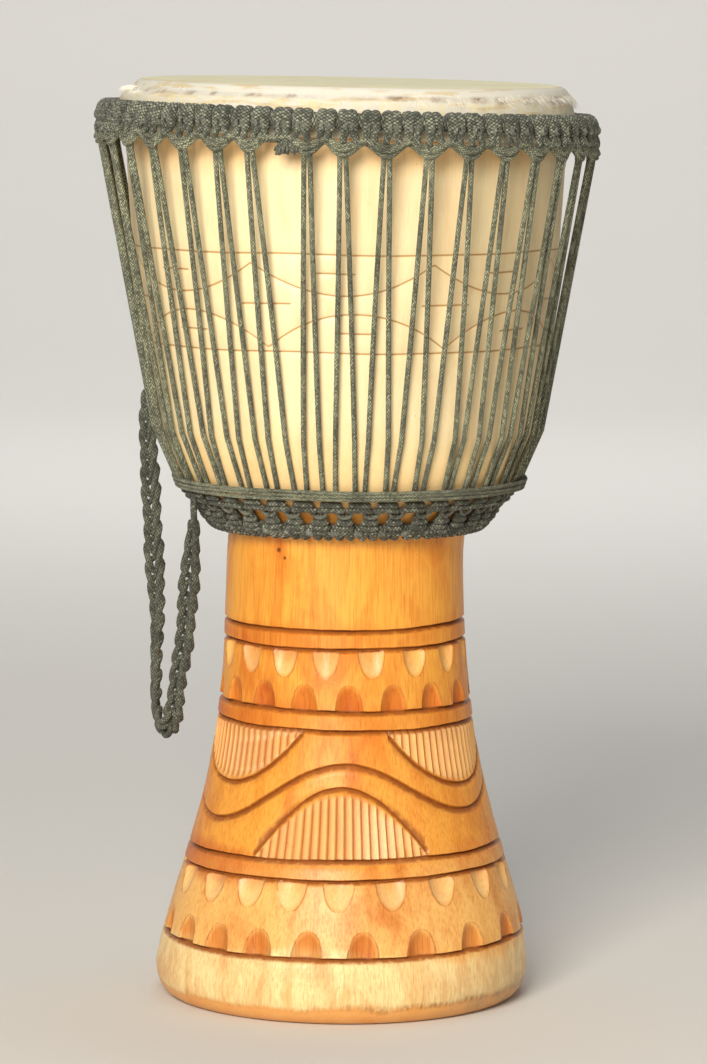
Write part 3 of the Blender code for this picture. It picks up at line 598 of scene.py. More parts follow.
def scallop_columns(row, along):
    """Angles of the columns, for each share along the cuts: (rows, columns)."""
    across = np.array((-1.0, -0.9, -0.68, -0.36, 0.0, 0.36, 0.68, 0.9, 1.0))
    beside = np.array((0.05, 0.28, 0.5, 0.72, 0.95))
    widest = float(scallop_half(row, 0.0))
    tip = 0.12 * widest
    half = np.maximum(scallop_half(row, along), tip)
    half = np.where(along < 0, widest, np.where(along > 1, tip + 1.5 * widest * (along - 1), half))
    half = np.minimum(half, widest)[:, None, None]
    centres = np.sort(signed(row["centres"]))
    following = np.append(centres[1:], centres[0] + 360.0)
    cut = centres[:, None] + half * across
    left = centres[:, None] + half
    land = left + (following[:, None] - half - left) * beside
    return np.concatenate((cut, land), axis=2).reshape(len(along), -1)


rows = {
    "hanging_high": scallop_row("high", -1, 17, 0.0185, -7.7, 1.0, 3, 0.0, 1.45),
    "standing_high": scallop_row("middle_top", 1, 17, 0.0185, 2.2, 1.0, 2, 40.0, 1.8),
    "hanging_low": scallop_row("low", -1, 20, 0.0210, 0.2, 2.3, 3, 7.0, 1.45),
    "standing_low": scallop_row("foot", 1, 20, 0.0210, -8.4, 3.5, 2, 5.0, 1.8),
}
print("scallops:", {name: len(row["centres"]) for name, row in rows.items()})


# %% [markdown]
# ## Lenses and the wave
#
# Round the flare of the stem run six lens-shaped fields of flutes. Three stand on the low band
# and three hang from the middle one, and a wave is cut between them. A field is bounded by an
# arc, height * (1 - x * x), where x goes from -1 to 1 across it. Each flute is a cut with one
# wide flat face and one short steep one, as a chisel leaves it that is held to one side.

# %% Lens fields
LENS_TURN = -1.5
LENS_STEP = 120.0
LENSES = {
    "standing": {"first": LENS_TURN, "way": 1, "height": 0.0435, "half": 34.3},
    "hanging": {"first": LENS_TURN + LENS_STEP / 2, "way": -1, "height": 0.0365, "half": 40.3},
}
FLUTES = 21
FLUTE_DEPTH = 0.0019
FLUTE_FLOOR = 0.0003
FLUTE_CREST = 0.75
ARC_GROOVE = 0.0022
ARC_RIM = 0.0023
WAVE_LEVEL = 0.1454
WAVE_RISE = 0.0185
WAVE_RADIUS = 0.0912
ARC_RADIUS = 0.095
WAVE_HALF_WIDTH = 0.0029
WAVE_DEPTH = 0.0025
print("flutes in each of the six lens fields:", FLUTES)


def lens_sway(lens, angle):
    """The hanging fields stand a few degrees from their even places, most of all on the left."""
    return (1.75 - 2.6 * np.sin(np.radians(angle))) * (lens["way"] < 0)


def lens_place(lens, angle):
    """How far across the nearest field of its row an angle is: -1 and 1 are its ends."""
    off = angle - lens_sway(lens, angle) - lens["first"]
    return ((off + LENS_STEP / 2) % LENS_STEP - LENS_STEP / 2) / lens["half"]


def lens_base(lens, angle):
    """Height of the lip that the field stands on or hangs from."""
    groove = "low_top" if lens["way"] > 0 else "middle"
    return groove_height(groove, angle) + lens["way"] * LIP


def lens_rise(lens, angle):
    """Distance of the arc from the lip, and zero outside the field."""
    return np.maximum(lens["height"] * (1 - lens_place(lens, angle) ** 2), 0.0)


def wave_height(angle):
    """The wave: a cosine with a crest over each standing field, lower on the left."""
    return (WAVE_LEVEL + WAVE_RISE * np.cos(np.radians(3 * (angle - LENS_TURN)))
            + 0.0045 * np.sin(np.radians(angle)) + wander(angle, 9.0, 0.0005)
            + wander(4 * angle, 6.0, 0.0002))


def wave_half(angle):
    """Half the wave's width measured straight up: it grows with the slope of the wave."""
    slope = 3 * WAVE_RISE / WAVE_RADIUS * np.sin(np.radians(3 * (angle - LENS_TURN)))
    return WAVE_HALF_WIDTH * np.sqrt(1 + slope ** 2)


def flute_cut(lens, angle, height):
    """Depth of the flutes: it falls slowly to a crest and then fast to the next valley."""
    across = lens_place(lens, angle)
    rise = lens["way"] * (height - lens_base(lens, angle))
    room = lens_rise(lens, angle) - ARC_RIM - rise
    count = (across + 1) / 2 * FLUTES % 1.0
    valley = np.where(count < FLUTE_CREST, 1 - count / FLUTE_CREST,
                      (count - FLUTE_CREST) / (1 - FLUTE_CREST))
    end = np.clip(room / 0.0012, 0.0, 1.0) * (np.abs(across) < 1) * (rise > -LIP)
    return (FLUTE_FLOOR + (FLUTE_DEPTH - FLUTE_FLOOR) * valley) * end


def arc_cut(lens, angle, height):
    """Depth of the line that runs along the arc."""
    arc = lens_base(lens, angle) + lens["way"] * lens_rise(lens, angle)
    slope = np.abs(2 * lens["height"] * lens_place(lens, angle)
                   / (lens["half"] * math.radians(1.0) * ARC_RADIUS))
    half = ARC_RIM * np.sqrt(1 + slope ** 2)
    return groove_depth(height, arc, half, ARC_GROOVE) * (np.abs(lens_place(lens, angle)) < 1.0)


def carved(angle, height):
    """Depth of the deepest cut at places on the shell, and the stain that each kind leaves, with
    painted light and shade on the scallops and flutes.
    """
    angle, height = np.broadcast_arrays(angle, height)
    grooves = np.zeros(angle.shape)
    for name in Z_GROOVES:
        middle = groove_height(name, angle)
        uneven = 1.0 + wander(angle, 17.0 + Z_GROOVES[name], 0.22)
        cut = uneven * groove_depth(height, middle, LIP, GROOVE_DEPTH)
        grooves = np.maximum(grooves, cut)
    wave = groove_depth(height, wave_height(angle), wave_half(angle), WAVE_DEPTH)
    flutes, arcs = np.zeros((2, *angle.shape))
    for lens in LENSES.values():
        flutes = np.maximum(flutes, flute_cut(lens, angle, height))
        arcs = np.maximum(arcs, arc_cut(lens, angle, height))
    cuts, edges = zip(*(scallop_cut(row, angle, height) for row in rows.values()))
    hanging = np.maximum(cuts[0], cuts[2])
    depth = np.max((grooves, wave, arcs, flutes, *cuts), axis=0)
    lines = np.maximum(wave / WAVE_DEPTH, arcs / ARC_GROOVE)
    # The hanging scallops and the flute fields get painted light, the standing scallops painted
    # shade, and each scallop's edge a painted shade line; the rest are stains
    stains_and_light = {"groove_stain": np.minimum(np.maximum(grooves / GROOVE_DEPTH, 0.85 * lines), 1.1),
              "flute_valley": (flutes / FLUTE_DEPTH) ** 3,
              "painted_light_cut": np.maximum(np.clip(hanging / 0.0012, 0.0, 1.0)
                                     * (1.15 - 0.9 * hanging / SCALLOP_DEPTH), flutes > 0.0002),
              "painted_shade_cut": np.clip(np.maximum(cuts[1], cuts[3]) / 0.0015, 0.0, 1.0),
              "cut_edge_shade": np.max(edges, axis=0)}
    return depth, stains_and_light


# %% [markdown]
# ## One skin of wood from nine bands
#
# Each band of the carving gets a grid whose rows and columns follow its own cuts. Two bands
# have different columns, so the rings where they meet are zipped: going round, the next
# triangle takes whichever ring has the nearer next point. Inside and outside are one closed
# surface, from the foot up, over the rim and down the bore.

# %% Zip and band grids
def zip_rings(below, above):
    """Triangles between two rings, given as sorted angles: three corners, ring by ring.

    Sorting all next angles of both rings gives the order of the steps, and counting them
    gives the corner that each ring has reached.
    """
    angles = np.concatenate((below[1:], below[:1] + 360.0, above[1:], above[:1] + 360.0))
    lower = np.concatenate((np.ones(len(below), bool), np.zeros(len(above), bool)))
    lower = lower[np.argsort(angles, kind="stable")]
    i = np.cumsum(lower) - lower
    j = np.cumsum(~lower) - ~lower
    up = len(below) + j % len(above)
    after = np.where(lower, (i + 1) % len(below), len(below) + (j + 1) % len(above))
    return np.stack((i % len(below), after, up), axis=1)


def between(low, high, shares):
    """Heights at the given shares of the way from one line round the shell to another."""
    return [low + (high - low) * share for share in shares]


LIP_SHARE = LIP / SCALLOP_LENGTH
DEEP_SHARE = GROOVE_DEEPEST / SCALLOP_LENGTH
CUT_SHARES = np.array((-LIP_SHARE, -DEEP_SHARE, -0.002, DEEP_SHARE, LIP_SHARE, 0.17, 0.28, 0.40,
                       0.52, 0.64, 0.74, 0.83, 0.90, 0.95, 0.98, 1.0, 1.03))


def scallop_band(row, below, above):
    """Angles and heights of a band: plain rows, rows at shares along the cuts, one plain row.

    A plain row's place along the cuts is -1 on the groove's side and 2 beyond the tips.
    """
    ends = (-1.0, 2.0)[::row["way"]]
    places = np.concatenate((np.full(len(below), ends[0]), CUT_SHARES[::row["way"]], ends[1:]))
    angles = scallop_columns(row, places)
    heights = (groove_height(row["groove"], angles)
               + row["way"] * places[:, None] * SCALLOP_LENGTH)
    heights[:len(below)] = np.array(below)[:, None]
    heights[-1] = above
    return angles, heights


foot_rows = (0.0, 0.0006, 0.0030, 0.0070, 0.0125, 0.0200, 0.0290, 0.0365)
foot_band, low_band, high_scallops, top_scallops = [
    scallop_band(rows[name], below, above) for name, below, above in (
        ("standing_low", foot_rows, 0.0668), ("hanging_low", (0.0678,), 0.0955),
        ("standing_high", (0.1935,), 0.2188), ("hanging_high", (0.2190,), 0.2445))]

# %% Lens and top bands
LEAST_RISE = 0.0040


def lens_band():
    """Angles and heights of the lens fields: rows bend with the arcs and the wave."""
    columns = []
    for lens in LENSES.values():
        steps = np.linspace(-1.0, 1.0, 4 * FLUTES + 1)
        even = [lens["first"] + LENS_STEP * k + lens["half"] * steps for k in range(3)]
        columns += [angles + lens_sway(lens, angles + lens_sway(lens, angles)) for angles in even]
    columns = np.sort(signed(np.concatenate(columns)))
    columns = columns[np.concatenate(([True], np.diff(columns) > 0.12))]
    low, high = groove_height("low_top", columns), groove_height("middle", columns)
    lines = [np.full(columns.shape, 0.0965), low - LIP, low + GROOVE_DEEPEST, low + LIP]
    standing, hanging = LENSES["standing"], LENSES["hanging"]
    base, top = lens_base(standing, columns), lens_base(hanging, columns)
    arc = base + np.maximum(lens_rise(standing, columns), LEAST_RISE)
    brow = top - np.maximum(lens_rise(hanging, columns), LEAST_RISE)
    wave, half = wave_height(columns), wave_half(columns)
    lines += between(base, arc - ARC_RIM, (0.3, 0.55, 0.78, 0.92, 1.0))
    lines += [arc - ARC_RIM / 2, arc + 0.4 * ARC_RIM, arc + ARC_RIM]
    lines += between(arc + ARC_RIM, wave - half, (0.25, 0.5, 0.75, 1.0))
    lines += [wave, wave + 0.4 * half, wave + half]
    lines += between(wave + half, brow - ARC_RIM, (0.25, 0.5, 0.75, 1.0))
    lines += [brow - ARC_RIM / 2, brow + 0.4 * ARC_RIM]
    lines += between(brow + ARC_RIM, top, (0.0, 0.08, 0.22, 0.45, 0.7, 1.0))
    lines += [high + GROOVE_DEEPEST, high + LIP, np.full(columns.shape, 0.1915)]
    heights = np.stack(lines)
    return np.broadcast_to(columns, heights.shape), heights


def top_band():
    """The groove over the upper band, with plain rows on both sides."""
    columns = full_turn(200)
    groove = groove_height("high_top", columns)
    heights = np.stack([np.full(columns.shape, 0.2462), groove - LIP, groove - LIP / 3,
                        groove + GROOVE_DEEPEST, groove + LIP, np.full(columns.shape, 0.2575)])
    return np.broadcast_to(columns, heights.shape), heights


# %% [markdown]
# ## Lines round the bowl
#
# With the point of a knife the carver drew two rings round the bowl, seven garlands that hang
# from the upper one and seven that stand on the lower one, and short bars between them. Each
# garland is a parabola of the turn. A line is a V half a millimetre deep: three rows of the
# grid follow it. A bar is level, and where it isn't drawn its rows keep between two lines.

# %% Garlands
Z_LINES = (0.4300, 0.5060)
LINE_HALF_WIDTH = 0.0009
LINE_DEPTH = 0.0005
GARLANDS = 7


def garland_square(angle, shift):
    """The square of x, which goes from -1 to 1 across each of the seven garlands."""
    turn = np.radians(angle)
    count = (turn + 0.05 * np.sin(turn)) * GARLANDS / (2 * np.pi) + shift
    return (2 * (count % 1.0) - 1) ** 2


def garland_band():
    """Angles, heights and how deep the knife went, from 0 to 1, for the band of lines."""
    columns = full_turn(480)
    nothing, whole = np.zeros(columns.shape), np.ones(columns.shape)
    hanging, standing, upper = [garland_square(columns, shift) for shift in (0.516, 0.439, 0.551)]
    hand = wander(columns, 4.0, 0.0009)
    lines = [0.4365 + hand, 0.4615 - 0.0225 * standing + hand, 0.4730 + 0.0200 * hanging + hand,
             0.4990 + hand]
    bars = [(0.4492, standing < 0.045), (0.4670, standing > 0.50), (0.4870, upper < 0.05)]
    heights, marks = [Z_LINES[0] * whole], [nothing]
    for k, line in enumerate(lines):
        heights += [line - LINE_HALF_WIDTH, line, line + LINE_HALF_WIDTH]
        marks += [nothing, whole, nothing]
        if k < len(bars):
            level, drawn = bars[k]
            low, high = line + LINE_HALF_WIDTH, lines[k + 1] - LINE_HALF_WIDTH
            half = np.minimum(LINE_HALF_WIDTH, 0.3 * (high - low))
            bar = np.clip(level + hand, low + 1.2 * half, high - 1.2 * half)
            heights += [bar - half, bar, bar + half]
            marks += [nothing, 1.0 * drawn, nothing]
    heights = np.stack(heights + [Z_LINES[1] * whole])
    return np.broadcast_to(columns, heights.shape), heights, np.stack(marks + [nothing])


# %% Carved bands of the shell
def shell_radius(height):
    """Outside radius, rounded at the foot as an ellipse of 12.5 by 20 millimetres."""
    low = np.clip(1 - height / FOOT_ROUNDING[1], 0.0, 1.0)
    return outside(height) - FOOT_ROUNDING[0] * (1 - np.sqrt(1 - low ** 2))


# Each band: the angles of its first and last ring, its points, and its stains with the painted
# light and shade of its cuts
bands = []
for angles, heights in (foot_band, low_band, lens_band(), high_scallops, top_scallops,
                        top_band()):
    depth, stain_and_light = carved(angles, heights)
    radius = shell_radius(heights) - depth + wander(angles, 3.0, HAND_UNEVENNESS)
    bands.append((angles[0], angles[-1], round_axis(radius, angles, heights), stain_and_light))

print("carved bands:", [points.shape[:2] for _, _, points, _ in bands])

# %% Turned parts of the shell
turned_columns = full_turn(200)
outer = np.array((0.2595, 0.2650, 0.2720, 0.2800, 0.2880, 0.2960, 0.3030, 0.3090, 0.3140, 0.3190,
                  0.3240, 0.3290, 0.3340, 0.3400, 0.3470, 0.3560, 0.3660, 0.3780, 0.3920, 0.4080,
                  0.4250, 0.5150, 0.5350, 0.5530, 0.5700, 0.5850, 0.5960, 0.6010))
rim = np.array(((outside(Z_RIM) - 0.0009, Z_RIM - 0.0009), (outside(Z_RIM) - 0.0030, Z_RIM),
                (0.1275, Z_RIM), (0.1259, Z_RIM - 0.0010)))
inner = np.array((0.6000, 0.5850, 0.5600, 0.5350, 0.5050, 0.4700, 0.4400, 0.4150, 0.3950, 0.3800,
                  0.3650, 0.3500, 0.3350, 0.3190, 0.3000, 0.2700, 0.2380, 0.2000, 0.1700, 0.1437,
                  0.1150, 0.0905, 0.0600, 0.0300, 0.0080, 0.0020))
profile = np.concatenate((np.stack((outside(outer), outer), axis=1), rim,
                          np.stack((inside(inner), inner), axis=1),
                          ((0.1008, 0.0004), (0.1020, 0.0))))
row_numbers = np.arange(len(profile))
is_outer = row_numbers < len(outer)
is_bore = (row_numbers >= len(outer) + len(rim)) & (profile[:, 1] > 0.01)
uneven = wander(turned_columns, 3.0, HAND_UNEVENNESS) * is_outer[:, None]
chisel = (0.0006 * np.sin(np.radians(17 * turned_columns) + 40 * profile[:, 1:])
          * is_bore[:, None])
turned = round_axis(profile[:, :1] + uneven + chisel, turned_columns, profile[:, 1:])
turned = hauled(turned, np.clip((turned[..., 2] - Z_BELLY) / (Z_RIM - Z_BELLY), 0, 1), 0.0)
below_lines = int(np.sum(outer < Z_LINES[0]))
line_angles, line_heights, drawn = garland_band()
line_radius = (outside(line_heights) + wander(line_angles, 3.0, HAND_UNEVENNESS)
               - LINE_DEPTH * drawn)
lined = round_axis(line_radius, line_angles, line_heights)
for columns, part, stain_and_light in ((turned_columns, turned[:below_lines], {}),
                             (line_angles[0], lined, {"drawn_line": drawn}),
                             (turned_columns, turned[below_lines:], {})):
    bands.append((columns, columns, part, stain_and_light))

print("rings turned inside and outside:", len(profile), "and for the lines:", len(lined))

# %% Shell
counts = [part[..., 0].size for _, _, part, _ in bands]
firsts = np.cumsum([0] + counts)
zips = []
for k, (_, below, _, _) in enumerate(bands):
    m = (k + 1) % len(bands)
    last_row = firsts[k] + counts[k] - len(below)
    faces = zip_rings(below, bands[m][0])
    faces = np.where(faces < len(below), faces + last_row, faces - len(below) + firsts[m])
    zips.append(np.concatenate((faces, np.full((len(faces), 1), -1)), axis=1))
points, faces, places = joined([woven(part[None]) for _, _, part, _ in bands])
points[:, 0] += lean(points[:, 2])
zips = np.concatenate(zips)
shell_surface = (points, np.concatenate((faces, zips)),
                 np.concatenate((places, np.zeros((len(zips), 4, 2)))))
shell_stains_and_light = {name: np.concatenate([np.ravel(stain_and_light.get(name, np.zeros(part[..., 0].size)))
                                      for _, _, part, stain_and_light in bands])
                for name in ("groove_stain", "flute_valley", "painted_light_cut", "painted_shade_cut", "cut_edge_shade",
                             "drawn_line")}
print("shell:", len(points), "points in", len(bands), "bands")


# %% [markdown]
# ## Oiled and varnished hardwood
#
# Djembes are carved from lenke or a like tropical hardwood while it is green, then oiled and
# varnished. The grain runs up the log, so it shows as fine upright streaks. Varnish and stain
# gather in cuts, which makes grooves dark, and hands and light leave the bowl paler than the
# stem. The colours are mixed by height, by the kind of cut, by streaks that are stretched
# along the log, and by a few marks in their places. Some of it is painted light and shade: an
# orange tone under the cradle is painted shade, the hanging scallops and the flutes are painted
# lighter, the standing scallops darker, and a painted shade line runs round each scallop.

# %% Tones and grain of the wood
def wood_noises(tree, place):
    """Soft noises by name, each squeezed along z, with its scale, detail, roughness and bend.

    The first is grain a third of a millimetre wide and some centimetres long.
    """
    noises = {}
    for label, squeeze, scale, detail, rough, bend in (
            ("grain", 0.035, 900.0, 4.0, 0.6, 0.0), ("streaks", 0.12, 52.0, 5.0, 0.5, 0.5),
            ("blotches", 0.5, 34.0, 5.0, 0.6, 0.7), ("clouds", 1.0, 14.0, 3.0, 0.5, 0.0),
            ("ragged", 1.0, 240.0, 3.0, 0.5, 0.0), ("few", 1.0, 55.0, 2.0, 0.5, 0.0),
            ("nicks", 0.25, 420.0, 3.0, 0.5, 0.0), ("wavy", 1.0, 26.0, 3.0, 0.5, 0.0),
            ("scuffs", 1.0, 90.0, 5.0, 0.7, 0.0)):
        squeezed = add_node(tree, "Mapping", {"Vector": place, "Scale": (1.0, 1.0, squeeze)})
        noises[label] = add_node(tree, "TexNoise", {"Vector": squeezed, "Scale": scale,
                                                    "Detail": detail, "Roughness": rough,
                                                    "Distortion": bend})
    return noises


def wood_tones(tree, z, shifted):
    """Colour by height: one tone gives way to the next, each blurred by the shifted clouds."""
    level = add_node(tree, "Math", {0: shifted, 1: 0.040, 2: z}, operation='MULTIPLY_ADD')
    # The last tone, orange at the top of the bowl under the cradle, is painted shade
    tones = (("F6DC9E", 0.0, 0.0), ("F2BC6C", 0.040, 0.050), ("EDA442", 0.085, 0.110),
             ("EFA842", 0.190, 0.250), ("E8A54E", 0.300, 0.320), ("F5D89E", 0.325, 0.348),
             ("F8E4B6", 0.355, 0.400), ("EFC88E", 0.546, 0.568))
    colour = linear(tones[0][0])
    for tone, low, high in tones[1:]:
        share = add_node(tree, "MapRange", {"Value": level, "From Min": low, "From Max": high},
                         interpolation_type='SMOOTHSTEP')
        colour = add_node(tree, "MixRGB", {0: share, 1: colour, 2: linear(tone)})
    return colour


def streaked(tree, colour, z, noises):
    """Streaks, fine grain, and blotches where the stem drank more oil."""
    on_stem = add_node(tree, "MapRange", {"Value": z, "From Min": 0.345, "From Max": 0.315,
                                          "To Min": 0.22})
    for label, low, high, most, tone in (("streaks", 0.50, 0.74, 0.80, "DDB27E"),
                                         ("grain", 0.45, 0.75, 0.62, "D09A64"),
                                         ("blotches", 0.46, 0.68, 0.55, "E4A266")):
        share = add_node(tree, "MapRange", {"Value": noises[label], "From Min": low,
                                            "From Max": high, "To Max": most})
        share = add_node(tree, "Math", {0: share, 1: on_stem}, operation='MULTIPLY')
        colour = add_node(tree, "MixRGB", {0: share, 1: colour, 2: linear(tone)},
                          blend_type='MULTIPLY')
    return colour


# %% Stains of the wood
def stained_bands(tree, colour, x, z, shifted):
    """Stain has gathered along the bands and fades away from them, most of all on the left."""
    lefter = add_node(tree, "MapRange", {"Value": x, "From Min": -0.02, "From Max": -0.09,
                                         "To Min": 0.22, "To Max": 1.0})
    for middle in (0.0965, 0.1925, 0.2455):
        off = add_node(tree, "Math", {0: z, 1: middle}, operation='SUBTRACT')
        off = add_node(tree, "Math", {0: off}, operation='ABSOLUTE')
        off = add_node(tree, "Math", {0: shifted, 1: 0.030, 2: off}, operation='MULTIPLY_ADD')
        near = add_node(tree, "MapRange", {"Value": off, "From Min": 0.0145, "From Max": 0.0040,
                                           "To Max": 0.75}, interpolation_type='SMOOTHSTEP')
        near = add_node(tree, "Math", {0: near, 1: lefter}, operation='MULTIPLY')
        colour = add_node(tree, "MixRGB", {0: near, 1: colour, 2: linear("D99355")},
                          blend_type='MULTIPLY')
    return colour


def stains_light_and_shade_of_cuts(tree, colour, noises):
    """Colour by kind of cut, from the mesh's own attributes: painted light and shade on the
    scallops and flutes, stain in the flute valleys and grooves.
    """
    # Painted light on the up-facing hanging scallops and on the flutes, painted shade on the
    # down-facing standing scallops
    for label, most, tone, blend in (("painted_light_cut", 0.42, "FFDFA2", 'MIX'),
                                     ("painted_shade_cut", 0.72, "D79E52", 'MULTIPLY')):
        mark = add_node(tree, "Attribute", attribute_name=label, output="Fac")
        amount = add_node(tree, "Math", {0: mark, 1: most}, operation='MULTIPLY')
        colour = add_node(tree, "MixRGB", {0: amount, 1: colour, 2: linear(tone)},
                          blend_type=blend)
    ragged = add_node(tree, "MapRange", {"Value": noises["ragged"], "From Min": 0.35,
                                         "From Max": 0.62, "To Min": 0.45, "To Max": 1.0})
    # The scallops' edges get a painted shade line; the flute valleys and grooves take stain
    for label, tone, power, most in (("flute_valley", "AE5A1C", 1.0, 0.92),
                                     ("cut_edge_shade", "A45A20", 1.0, 0.85),
                                     ("groove_stain", "A05A22", 1.0, 2.60),
                                     ("groove_stain", "5A2C10", 3.0, 0.80)):
        mark = add_node(tree, "Attribute", attribute_name=label, output="Fac")
        mark = add_node(tree, "Math", {0: mark, 1: power}, operation='POWER')
        amount = add_node(tree, "Math", {0: mark, 1: most}, operation='MULTIPLY')
        if label != "flute_valley":
            amount = add_node(tree, "Math", {0: amount, 1: ragged}, operation='MULTIPLY')
        amount = add_node(tree, "Math", {0: amount, 1: 0.92}, operation='MINIMUM')
        colour = add_node(tree, "MixRGB", {0: amount, 1: colour, 2: linear(tone)})
    return colour


# %% Marks in the wood
def knots_and_pores(tree, colour, place, noises):
    """Two small knots high on the stem, and pores, which are short dark dots along the grain."""
    for spot, size in (((-0.0446, -0.0657, 0.3034), 0.0016), ((-0.0406, -0.0681, 0.2984), 0.0011)):
        far = add_node(tree, "VectorMath", {0: place, 1: spot}, output="Value",
                       operation='DISTANCE')
        knot = add_node(tree, "MapRange", {"Value": far, "From Min": 1.3 * size,
                                           "From Max": 0.6 * size, "To Max": 0.85})
        colour = add_node(tree, "MixRGB", {0: knot, 1: colour, 2: linear("4A2810")})

    pores_place = add_node(tree, "Mapping", {"Vector": place, "Scale": (1.0, 1.0, 0.45)})
    pores = add_node(tree, "TexVoronoi", {"Vector": pores_place, "Scale": 330.0})
    pore = add_node(tree, "MapRange", {"Value": pores, "From Min": 0.10, "From Max": 0.04})
    few = add_node(tree, "MapRange", {"Value": noises["few"], "From Min": 0.55, "From Max": 0.68})
    pore = add_node(tree, "Math", {0: pore, 1: few}, operation='MULTIPLY')
    colour = add_node(tree, "MixRGB", {0: pore, 1: colour, 2: linear("8A4A22")},
                      blend_type='MULTIPLY')
    return colour, pore


def oiled_lines(tree, colour):
    """Oil has darkened the lines cut round the bowl."""
    lines = add_node(tree, "Attribute", attribute_name="drawn_line", output="Fac")
    shown = add_node(tree, "Math", {0: lines, 1: 1.15}, operation='MULTIPLY', use_clamp=True)
    colour = add_node(tree, "MixRGB", {0: shown, 1: colour, 2: linear("BC8C4C")})
    return colour


def worn_foot(tree, colour, x, z, noises):
    """The foot's edge is orange and dirty below a ragged line of nicks, and grey on the right."""
    edge = add_node(tree, "Math", {0: noises["wavy"], 1: -0.012, 2: z}, operation='MULTIPLY_ADD')
    worn = add_node(tree, "MapRange", {"Value": edge, "From Min": 0.0062, "From Max": 0.0036,
                                       "To Max": 0.78})
    colour = add_node(tree, "MixRGB", {0: worn, 1: colour, 2: linear("E69C4C")})
    off = add_node(tree, "Math", {0: edge, 1: 0.0048}, operation='SUBTRACT')
    off = add_node(tree, "Math", {0: off}, operation='ABSOLUTE')
    nick = add_node(tree, "MapRange", {"Value": off, "From Min": 0.0030, "From Max": 0.0008})
    dark_nick = add_node(tree, "MapRange", {"Value": noises["nicks"], "From Min": 0.42,
                                            "From Max": 0.66, "To Min": 0.12, "To Max": 0.60})
    nick = add_node(tree, "Math", {0: nick, 1: dark_nick}, operation='MULTIPLY')
    righter = add_node(tree, "MapRange", {"Value": x, "From Min": -0.04, "From Max": 0.05,
                                          "To Min": 0.30, "To Max": 1.25})
    nick = add_node(tree, "Math", {0: nick, 1: righter}, operation='MULTIPLY', use_clamp=True)
    colour = add_node(tree, "MixRGB", {0: nick, 1: colour, 2: linear("8E5A2A")})
    grey = add_node(tree, "MapRange", {"Value": x, "From Min": 0.050, "From Max": 0.100})
    low_edge = add_node(tree, "MapRange", {"Value": z, "From Min": 0.036, "From Max": 0.012})
    scuff = add_node(tree, "MapRange", {"Value": noises["scuffs"], "From Min": 0.42,
                                        "From Max": 0.62, "To Min": 0.25, "To Max": 0.70})
    for share in (low_edge, grey):
        scuff = add_node(tree, "Math", {0: scuff, 1: share}, operation='MULTIPLY')
    colour = add_node(tree, "MixRGB", {0: scuff, 1: colour, 2: linear("A58A68")})
    return colour


# %% Wood finish
def hardwood():
    """Varnished hardwood: satin, amber on the stem, cream on the bowl, dark in the grooves."""
    finish, tree, shader = new_finish("varnished_hardwood", Specular_IOR_Level=0.34,
                                      Coat_Weight=0.05, Coat_Roughness=0.28, Coat_IOR=1.5)
    place = add_node(tree, "TexCoord", output="Object")
    x, z = [add_node(tree, "SeparateXYZ", {0: place}, output=axis) for axis in "XZ"]
    noises = wood_noises(tree, place)
    shifted = add_node(tree, "Math", {0: noises["clouds"], 1: 0.5}, operation='SUBTRACT')
    colour = wood_tones(tree, z, shifted)
    colour = streaked(tree, colour, z, noises)
    colour = stained_bands(tree, colour, x, z, shifted)
    colour = stains_light_and_shade_of_cuts(tree, colour, noises)
    colour, pore = knots_and_pores(tree, colour, place, noises)
    colour = oiled_lines(tree, colour)
    colour = worn_foot(tree, colour, x, z, noises)
    tree.links.new(colour, shader.inputs["Base Color"])
    gloss = add_node(tree, "MapRange", {"Value": noises["grain"], "From Min": 0.3, "From Max": 0.8,
                                        "To Min": 0.34, "To Max": 0.48})
    tree.links.new(gloss, shader.inputs["Roughness"])
    relief = add_node(tree, "Math", {0: pore, 1: -1.0, 2: noises["grain"]},
                      operation='MULTIPLY_ADD')
    normal = add_node(tree, "Bump", {"Height": relief, "Distance": 0.00018, "Strength": 0.6})
    tree.links.new(normal, shader.inputs["Normal"])
    return finish


add_piece("carved_shell", shell_surface, hardwood(), ["shell"],
          attributes=shell_stains_and_light, sharp=38.0)


# %% [markdown]
# ## The goatskin
#
# A wet goatskin is laid over the bearing edge, lapped round a hoop and hauled down, and it
# dries as hard as horn. The playing face is shaved to a dull cream. The collar keeps its
# white hair, with brown patches where it is rubbed through, and its creases are those of a
# flat skin pressed round a ring. The surface is a profile turned round the axis, with shallow
# creases that grow down the collar.

